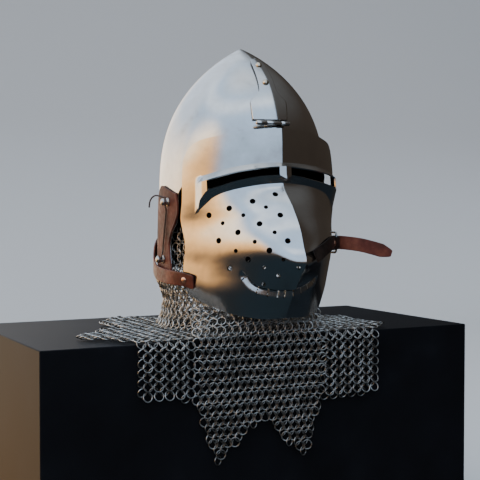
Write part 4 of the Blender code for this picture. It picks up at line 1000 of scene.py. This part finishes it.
def strip_frame(path, tilt):
    """Outward and upward directions of a strap standing on edge along a path; tilt turns
    its top edge outward, in radians at each point."""
    along = unit(np.gradient(path, axis=0))
    out = unit(np.cross((0.0, 0.0, 1.0), along))
    up = np.cross(along, out)
    tilt = np.broadcast_to(tilt, len(path))[:, None]
    return out * np.cos(tilt) - up * np.sin(tilt), up * np.cos(tilt) + out * np.sin(tilt)


def strip(name, path, wide, thick, tilt=0.0):
    """A strap carried along a path. Its section is a rounded bar, slightly crowned:
    across = w/2 cos'(t), out = thick/2 sin'(t), with both raised to flatten the faces."""
    out, up = strip_frame(path, tilt)
    t = full_turn(36)[None, :, None]
    wide = np.broadcast_to(wide, len(path))[:, None, None] / 2
    flat = 0.5 * thick * (signed_power(np.sin(t), 0.42))
    wide_way = signed_power(np.cos(t), 0.16) * wide
    rings = path[:, None] + up[:, None] * wide_way + out[:, None] * flat
    ends = np.repeat(path[[0, -1], None], 36, axis=1)
    return grid_piece(name, np.concatenate([ends[:1], rings, ends[1:]]), 50, True, turn=True)


def make_strap(material, copper_material):
    """The strap from the visor's cheek round the nape and through the buckle, its tip cut to
    a blunt point, and the copper rivet at its front end."""
    lift = 0.0012 + LEATHER / 2
    front = [visor_point(d, z, lift) for d, z in STRAP_VISOR]
    round_ = [skull_point(np.radians(d), z, STRAP_LIFT) for d, z in STRAP_SKULL]
    free = [BUCKLE + np.array(step) for step in STRAP_FREE]
    rough = smooth_path(np.concatenate([front, round_, free]), STRAP_POINTS)
    path = smooth_path(rough, STRAP_FINE)
    share = np.linspace(0, 1, STRAP_FINE)
    tilt = np.radians(through(STRAP_TILT, np.linspace(0, STRAP_POINTS - 1, STRAP_FINE)))
    to_tip = (1 - share) * STRAP_POINTS / 2.0
    from_end = share * STRAP_POINTS / 0.9
    wide = STRAP_WIDE * np.minimum(1, 0.42 + 0.58 * np.clip(to_tip, 0, 1) ** 0.7)
    wide = wide * np.clip(0.82 + 0.18 * np.sqrt(np.clip(from_end * 3, 0, 1)), 0, 1)
    strap = strip("nape_strap_leather", path, wide, LEATHER, tilt)
    dress(strap, material, "strap_leather", "nape_strap")
    out, _ = strip_frame(rough, np.radians(through(STRAP_TILT, np.arange(STRAP_POINTS))))
    number = int(round(RIVET_FROM_END / np.linalg.norm(rough[2] - rough[1])))
    base = rough[number] + out[number] * (LEATHER / 2 - 0.0001)
    make_rivet("strap_rivet_copper", SMALL_HEAD, base, out[number], copper_material,
               "strap_rivet")


def make_buckle(steel, material, copper_material):
    """A rounded wire frame, its tongue, and the doubled tab riveted to the visor's cheek."""
    x, y, z = BUCKLE
    t = full_turn(96)
    loop = stacked(x, y + BUCKLE_LONG / 2 * signed_power(np.cos(t), 0.35),
                   z + BUCKLE_TALL / 2 * signed_power(np.sin(t), 0.35))
    ring = tube_piece("buckle_wire_frame", loop, BUCKLE_WIRE, 14, closed=True)
    dress(ring, steel, "steel_plate", "buckle_frame")
    front, rear = y - BUCKLE_LONG / 2, y + BUCKLE_LONG / 2
    turn = np.radians(np.linspace(200, 430, 12))
    collar = stacked(x + TONGUE_WRAP * np.cos(turn), front + TONGUE_WRAP * np.sin(turn), z)
    tip = np.array([(x + 0.0052, y - 0.0030, z), (x + 0.0038, rear - 0.0010, z),
                    (x + 0.0034, rear + 0.0016, z)])
    path = smooth_path(np.concatenate([collar, tip]), 60)
    thin = TONGUE_R * (1 - 0.45 * np.linspace(0, 1, 60) ** 2)
    tongue = tube_piece("buckle_tongue_wire", path, thin, 12)
    dress(tongue, steel, "steel_plate", "buckle_tongue")
    turn = np.radians(np.linspace(-60, 165, 14))
    hug = BUCKLE_WIRE + 0.0003 + LEATHER / 2
    loop = stacked(x + hug * np.cos(turn), front + hug * np.sin(turn), z)
    degrees, heights = np.array(TAB_LINE).T
    flat = visor_point(degrees, heights, TAB_LIFT + LEATHER / 2)
    bend = np.array([[x - 0.0012, front - 0.0085, z]])
    path = np.concatenate([flat, bend, loop])
    lean = np.zeros(len(path))
    lean[:len(flat)] = np.arcsin(visor_normal(degrees, heights)[:, 2])
    length = arc_length(path)
    tilt = np.interp(np.linspace(0, length[-1], TAB_POINTS), length, lean)
    tab = strip("buckle_tab_leather", smooth_path(path, TAB_POINTS), TAB_WIDE, LEATHER, tilt)
    dress(tab, material, "strap_leather", "buckle_tab")
    base = visor_point(*TAB_RIVET, TAB_LIFT + LEATHER)
    make_rivet("tab_rivet_copper", SMALL_HEAD, base, visor_normal(*TAB_RIVET), copper_material,
               "tab_rivet")


# ---- The mail -------------------------------------------------------------------
RING_R = 0.00575                        # middle of the wire
WIRE_R = 0.00080
RING_PITCH = 0.0115                     # along a row
ROW_PITCH = 0.0069                      # from row to row
RING_LEAN = 20.0                        # degrees; each row leans the other way
RING_STEPS, WIRE_SIDES = 14, 4          # facets round a ring, and round its wire
COLLAR_Y = -0.0565
COLLAR_TAPER = 0.12
# The mail's collar: height, half width, reach to the front, reach to the back.
COLLAR = ((0.0060, 0.1090, 0.1030, 0.1110), (0.0120, 0.1050, 0.1010, 0.1080),
          (0.0250, 0.1005, 0.1000, 0.1050), (0.0400, 0.0980, 0.1000, 0.1045),
          (0.0550, 0.1025, 0.1000, 0.1080), (0.0680, 0.1080, 0.1000, 0.1140),
          (0.0765, 0.1095, 0.1000, 0.1165), (0.0900, 0.1035, 0.1000, 0.1165),
          (0.1400, 0.1030, 0.1000, 0.1165))
COLLAR_TOP = ((0, 0.0750), (35, 0.0850), (50, 0.1150), (57, 0.1370), (70, 0.1370),
              (77, 0.1300), (82, 0.1150), (85, 0.0765), (90, 0.0765), (180, 0.0765))
CURTAIN_Y = -0.1585
FRONT_LOW = ((-0.1100, -0.0750), (-0.0970, -0.1130), (-0.0850, -0.1520), (-0.0650, -0.1370),
             (-0.0430, -0.1190), (-0.0190, -0.1010), (0.0000, -0.1190), (0.0200, -0.1390),
             (0.0400, -0.1580), (0.0520, -0.1200), (0.0630, -0.0820))
RIGHT_LOW = ((-0.1840, -0.0680), (-0.1470, -0.0700), (-0.1110, -0.0720))
LEFT_LOW = ((0.0640, -0.0880), (0.1000, -0.0860), (0.1510, -0.0790))
MANTLE = ((-0.1840, -0.1490), (-0.2390, -0.0820), (-0.1800, -0.0300), (-0.1470, -0.0280),
          (-0.1580, 0.0450), (-0.1150, 0.1050), (-0.0600, 0.0760), (0.0000, 0.1300),
          (0.0600, 0.0760), (0.1150, 0.1050), (0.1580, 0.0450), (0.1440, -0.0100),
          (0.1660, -0.0400), (0.1760, -0.1280), (0.1510, -0.1490))
NECK_HALF = (0.100, 0.098)
NECK_Y = -0.0535


def collar_point(degrees, z):
    """An oval at each height, shallower in front than behind and drawn in towards the chin:
    x = side sin t, y = middle - reach cos t."""
    side, front, back = (through(COLLAR, z, c) for c in (1, 2, 3))
    angle = np.radians(degrees)
    reach = np.where(np.cos(angle) > 0, front, back)
    side = side * (1 - COLLAR_TAPER * np.maximum(np.cos(angle), 0))
    return stacked(side * np.sin(angle), COLLAR_Y - reach * np.cos(angle), z)


def rings(name, lattice, keep, seed, *nodes):
    """Linked wire rings on a lattice of points, rows down and half pitches across. Each ring is
    a torus: point = centre + (R + r cos s)(a cos t + b sin t) + r sin s m, where a, b and m lean
    one way on even rows and the other way on odd rows, so that each ring threads four others.
    The wire swells where its ends are riveted."""
    random = np.random.default_rng(seed)
    row, column = np.nonzero((np.add.outer(*map(np.arange, lattice.shape[:2])) % 2 == 0) & keep)
    centre = lattice[row, column]
    across = unit(np.gradient(lattice, axis=1)[row, column])
    down = np.gradient(lattice, axis=0)[row, column]
    down = unit(down - across * np.sum(down * across, axis=1, keepdims=True))
    out = np.cross(across, down)
    count = len(centre)
    lean = np.radians(RING_LEAN + random.normal(0, 2.5, count)) * np.where(row % 2, 1, -1)
    nod = np.radians(random.normal(0, 2.5, count))
    a = across * np.cos(lean)[:, None] + out * np.sin(lean)[:, None]
    b = unit(down + out * np.tan(nod)[:, None])
    m = unit(np.cross(a, b))
    b = np.cross(m, a)
    spin = random.uniform(0, 2 * math.pi, count)[:, None, None]
    t = full_turn(RING_STEPS)[None, :, None]
    s = full_turn(WIRE_SIDES)[None, None, :]
    wire = WIRE_R * (1 + 0.35 * np.exp(-(t / 0.5) ** 2))
    size = RING_R * (1 + random.normal(0, 0.012, count))[:, None, None]
    reach = size + wire * np.cos(s)
    local = [reach * np.cos(t + spin), reach * np.sin(t + spin),
             wire * np.sin(s) + 0 * reach]
    centre = centre + random.normal(0, 0.0002, (count, 3))
    points = centre[:, None, None] + sum(part[..., None] * way[:, None, None]
                                         for part, way in zip(local, (a, b, m)))
    each = RING_STEPS * WIRE_SIDES
    quads = grid_faces(RING_STEPS + 1, WIRE_SIDES, True) % each
    faces = quads[None] + each * np.arange(count)[:, None, None]
    piece = new_mesh(name, points, faces.reshape(-1, 4), None)
    shade = piece.data.attributes.new("ring", "FLOAT", "POINT")
    shade.data.foreach_set("value", np.repeat(random.uniform(0, 1, count), each))
    return dress(piece, WIRE, "mail_rings", *nodes)


def along_columns(surface, step, count, start=0.0):
    """Points at even steps of arc length down each column of a dense surface."""
    length = arc_length(surface)
    want = start + step * np.arange(count)
    made = np.empty((count, surface.shape[1], 3))
    for number in range(surface.shape[1]):
        for k in range(3):
            made[:, number, k] = np.interp(want, length[:, number], surface[:, number, k])
    return made, want[:, None] <= length[None, -1]


def ripple(degrees, z, size):
    """Soft waves in the hanging mail, running mostly down it."""
    return size * (np.sin(np.radians(degrees) * 9 + 0.6) + 0.7 * np.sin(np.radians(degrees) * 5
                   + 30 * z) + 0.4 * np.sin(60 * z))


def front_mail():
    """Under the chin the mail follows the collar. It runs forward over the plinth's edge as
    (1 - w) collar + w curtain, w rising from 0 to 1 as z falls, and hangs to its points."""
    half_columns = 35
    share = np.linspace(0, 1, half_columns)[None, :]
    degrees = -64 + 124 * share
    x = -0.1085 + 0.1720 * share
    z = np.linspace(0.003, 0.092, 160)[:, None]
    w = 1 - smooth_step(z, 0.001, 0.052)
    ring = collar_point(degrees + 0 * z, z + 0 * share)
    ring = ring + 0.001 * unit(ring - np.array([0, COLLAR_Y, 0])) * np.sin(degrees / 6)[..., None]
    flat = stacked(x, CURTAIN_Y, z)
    above = ring * (1 - w[..., None]) + flat * w[..., None]
    up, inside = along_columns(above, ROW_PITCH, 20, 0.4 * ROW_PITCH)
    rows_down = 25
    low = 0.003 - ROW_PITCH * (0.6 + np.arange(rows_down))[:, None]
    hang = stacked(x + 0.0015 * np.sin(low * 55 + x * 30), CURTAIN_Y + 0.0008 * np.sin(x * 90
                   + low * 30), low + 0 * x)
    lattice = np.concatenate([up[::-1], hang])
    bottom = np.interp(x[0], *np.array(FRONT_LOW).T)
    keep = np.concatenate([inside[::-1], low > bottom[None, :] + 0.004])
    rings("front_mail_rings", lattice, keep, 3, "mail_front")


def collar_mail():
    """The collar from cheek to cheek round the nape, and up into the gaps beside the visor."""
    half_columns = 2 * 44 + 1
    degrees = np.linspace(54, 306, half_columns)[None, :]
    z = np.linspace(0.0045, 0.136, 300)[:, None]
    surface = collar_point(degrees + 0 * z, z + 0 * degrees)
    outward = unit(surface - np.array([0, COLLAR_Y, 0]))
    surface = surface + outward * ripple(degrees, z, 0.0007)[..., None]
    lattice, inside = along_columns(surface, ROW_PITCH, 20)
    side = np.where(degrees > 180, 360 - degrees, degrees)
    keep = inside & (lattice[..., 2] < through(COLLAR_TOP, side) + 0.001)
    rings("collar_mail_rings", lattice[::-1], keep[::-1], 5, "mail_collar")


def inside_outline(outline, x, y):
    """True where a point lies inside a closed outline, by counting crossings."""
    corners = np.array(outline)
    ends = np.roll(corners, -1, axis=0)
    odd = np.zeros(np.broadcast(x, y).shape, bool)
    for (ax, ay), (bx, by) in zip(corners, ends):
        crosses = (ay > y) != (by > y)
        odd ^= crosses & (x < (bx - ax) * (y - ay) / ((by - ay) or 1e-9) + ax)
    return odd


def mantle_mail():
    """The cape on the plinth and the flaps that hang from it, with rows running to the front:
    s is the distance to the plinth's edge, then round it and down."""
    x = np.arange(-0.2350, 0.1760, ROW_PITCH)[:, None]
    s = np.arange(-0.2800, 0.0960, RING_PITCH / 2)[None, :]
    bend = 0.0095
    turn = np.clip(s / bend, 0, math.pi / 2)
    past = np.clip(s - bend * math.pi / 2, 0, None)
    y = -0.1490 + np.clip(-s, 0, None) - bend * np.sin(turn)
    z = 0.0040 - bend * (1 - np.cos(turn)) - past
    wave = 0.0009 * np.sin(70 * x + 25 * y) + 0.0006 * np.sin(41 * y)
    flat = s < 0
    z = z + np.where(flat, np.abs(wave), 0)
    y = y - np.where(flat, 0, np.abs(wave) * smooth_step(s, 0, 0.02))
    lattice = stacked(x, y, z)
    neck = ((x / NECK_HALF[0]) ** 2 + ((y - NECK_Y) / NECK_HALF[1]) ** 2) < 1
    on_top = flat & inside_outline(MANTLE, x, y) & ~neck
    flaps = np.zeros_like(flat)
    for low in (RIGHT_LOW, LEFT_LOW):
        bottom = np.interp(x, *np.array(low).T)
        flaps = flaps | ((x > low[0][0]) & (x < low[-1][0]) & (z > bottom + 0.004))
    rings("mantle_mail_rings", lattice, on_top | (~flat & flaps), 7, "mail_mantle",
          "mail_flap_right", "mail_flap_left")


# ---- The plinth ------------------------------------------------------------------
def make_plinth(material):
    """Boards with a slightly rounded edge: a box whose corners are bevelled."""
    ends = np.stack([PLINTH_LOW, PLINTH_HIGH]) - SEAT
    corners = np.array([[ends[i, 0], ends[j, 1], ends[k, 2]]
                        for i in (0, 1) for j in (0, 1) for k in (0, 1)])
    faces = np.array([[0, 1, 3, 2], [4, 6, 7, 5], [0, 4, 5, 1], [2, 3, 7, 6], [0, 2, 6, 4],
                      [1, 5, 7, 3]])
    board = new_mesh("plinth_boards", corners, faces, 30)
    bevel(board, 0.0012, 3, 30)
    return dress(board, material, "plinth_board", "display_plinth")


# ---- Camera, light and floor ---------------------------------------------------
def make_camera():
    """The view: 1.47 m off, 27 degrees round to the wearer's right, looking 2 degrees down."""
    lens = bpy.data.cameras.new("view")
    lens.sensor_width = 36.0
    lens.lens = 80.5
    view = linked("view", lens)
    view.location = SEAT + np.array([-0.6435, -1.3193, 0.1658])
    view.rotation_euler = (math.radians(88.03), 0.0, math.radians(-27.0))
    bpy.context.scene.camera = view


def make_floor():
    """A pale floor that curves up into a backdrop: height = R - sqrt(R^2 - run^2) past the bend."""
    x = np.linspace(-0.75, 3.2, 3)
    bend = 0.8
    turn = np.linspace(0, math.pi / 2, 24)
    run = np.concatenate([[-0.42, 0.0], 2.0 + bend * np.sin(turn), [2.0 + bend]])
    rise = np.concatenate([[0.0, 0.0], bend * (1 - np.cos(turn)), [2.6]])
    points = stacked(x[None, :], run[:, None], rise[:, None]) - SEAT
    floor = new_mesh("studio_floor", points, grid_faces(*points.shape[:2])[:, ::-1], None)
    paper = new_material("matt_studio_paper")
    finish_material(paper, {"Base Color": linear("#CFCDC8"), "Roughness": 0.9})
    floor.data.materials.append(paper)
    floor.visible_glossy = False


def area_light(name, place, target, size, power, colour):
    """A flat light turned to its target. It isn't mirrored, so it leaves no patch on the plate."""
    lamp = bpy.data.lights.new(name, "AREA")
    lamp.shape = "RECTANGLE"
    lamp.size, lamp.size_y = size
    lamp.energy = power
    lamp.color = linear(colour)[:3]
    holder = linked(name, lamp)
    holder.location = place
    holder.rotation_euler = (Vector(target) - Vector(place)).to_track_quat("-Z", "Y").to_euler()
    holder.visible_glossy = False


SKY_STRENGTH = 3.2


def make_world():
    """Soft light round the wearer's right: a cool window in front and a cool sky above, and
    cream near the horizon to that side and behind. The wearer's left is a dim room, and it is
    dark below. Each part is a ramp over height."""
    world = bpy.data.worlds.new("studio")
    bpy.context.scene.world = world
    world.use_nodes = True
    tree = world.node_tree
    way = add(tree, "TexCoord").outputs["Generated"]
    x, y, z = add(tree, "SeparateXYZ", {0: way}).outputs
    up = spread(tree, z, -1.0, 1.0)
    behind = add(tree, "Math", {"operation": "MULTIPLY_ADD", 0: y, 1: 0.35, 2: z})
    tilted = spread(tree, behind.outputs[0], -0.5, 1.0)
    lit = spread(tree, x, 0.42, 0.20, way="SMOOTHSTEP")
    aside = add(tree, "VectorMath", {"operation": "DOT_PRODUCT", 0: way,
                                               1: (-0.996, -0.087, 0.0)}).outputs[1]
    warm = add(tree, "Math", {"operation": "MAXIMUM",
                                        0: spread(tree, aside, 0.66, 0.88, way="SMOOTHSTEP"),
                                        1: spread(tree, y, 0.25, 0.65, way="SMOOTHSTEP")})
    cream = ramp(tree, tilted, ((0.06, "#161B1F"), (0.19, "#3A322C"), (0.235, "#7A5E40"),
                                (0.27, "#CC965C"), (0.34, "#D8A365"), (0.39, "#F4BC7A"),
                                (0.47, "#F0D4B0"), (0.62, "#ECDDCC"), (0.8, "#A8B4C4")))
    cool = ramp(tree, up, ((0.30, "#141C22"), (0.44, "#221F1D"), (0.485, "#564639"),
                           (0.53, "#8396AD"), (0.66, "#8EA3BD"), (0.85, "#8EA3BE"),
                           (0.90, "#BCC8D6"), (0.955, "#8FA2BA"), (1.0, "#A8B2BE")))
    dim = ramp(tree, up, ((0.30, "#0F1419"), (0.46, "#211D19"), (0.70, "#26221F"),
                          (1.0, "#494C4F")))
    sky = add(tree, "Mix", {"data_type": "RGBA", 0: warm.outputs[0], 6: cool, 7: cream})
    both = add(tree, "Mix", {"data_type": "RGBA", 0: lit, 6: dim, 7: sky.outputs[2]})
    shade = tree.nodes["Background"]
    shade.inputs[1].default_value = SKY_STRENGTH
    tree.links.new(both.outputs[2], shade.inputs[0])


def make_light():
    """A large cool lamp high on the wearer's right and a weak warm one low in front."""
    middle = (0.0, -0.06, 0.5)
    area_light("cool_window", (-1.6, -2.0, 1.9), middle, (1.4, 1.2), 40, "#DCE8F5")
    area_light("low_fill", (-0.9, -2.2, 0.5), middle, (1.6, 0.6), 10, "#F2E6D6")


make_camera()
make_floor()
make_world()
make_light()

PLATE = polished_plate()
INSIDE_SHADE = scaled_plate_painted_shade()
FITTINGS = dull_fittings()
WIRE = ring_wire()
COPPER = rivet_metal("peened_copper", "#B47A5E", "#E2AC8C", "#F0CDB4")
BRONZE = rivet_metal("peened_pale_bronze", "#A8987C", "#D2C4AC", "#E8E0D2")
BAND_LEATHER = leather("vegetable_tanned_band", "#2C1510", "#4B261D", "#683C30", 0.46)
STRAP_LEATHER = leather("waxed_bridle_strap", "#2E1712", "#512820", "#6F3F30", 0.38)
CORD = cord_thread()
# The tab's leather is coloured near black: painted shade, as the tab lies in shadow on the visor's
# cheek.
TAB_LEATHER_PAINTED_SHADE = leather("harness_leather_painted_shade", "#0E0B0A", "#191412", "#2A211D", 0.32)
BOARD = plinth_paint()

make_plinth(BOARD)
make_skull(PLATE, INSIDE_SHADE)
make_visor(PLATE, INSIDE_SHADE)
make_hinge_plate(PLATE, INSIDE_SHADE)
make_hinge(PLATE)
make_hinge_rivets(BRONZE)
make_band(BAND_LEATHER)
make_vervelles(FITTINGS)
make_cord(CORD)
make_strap(STRAP_LEATHER, COPPER)
make_buckle(FITTINGS, TAB_LEATHER_PAINTED_SHADE, COPPER)
front_mail()
collar_mail()
mantle_mail()
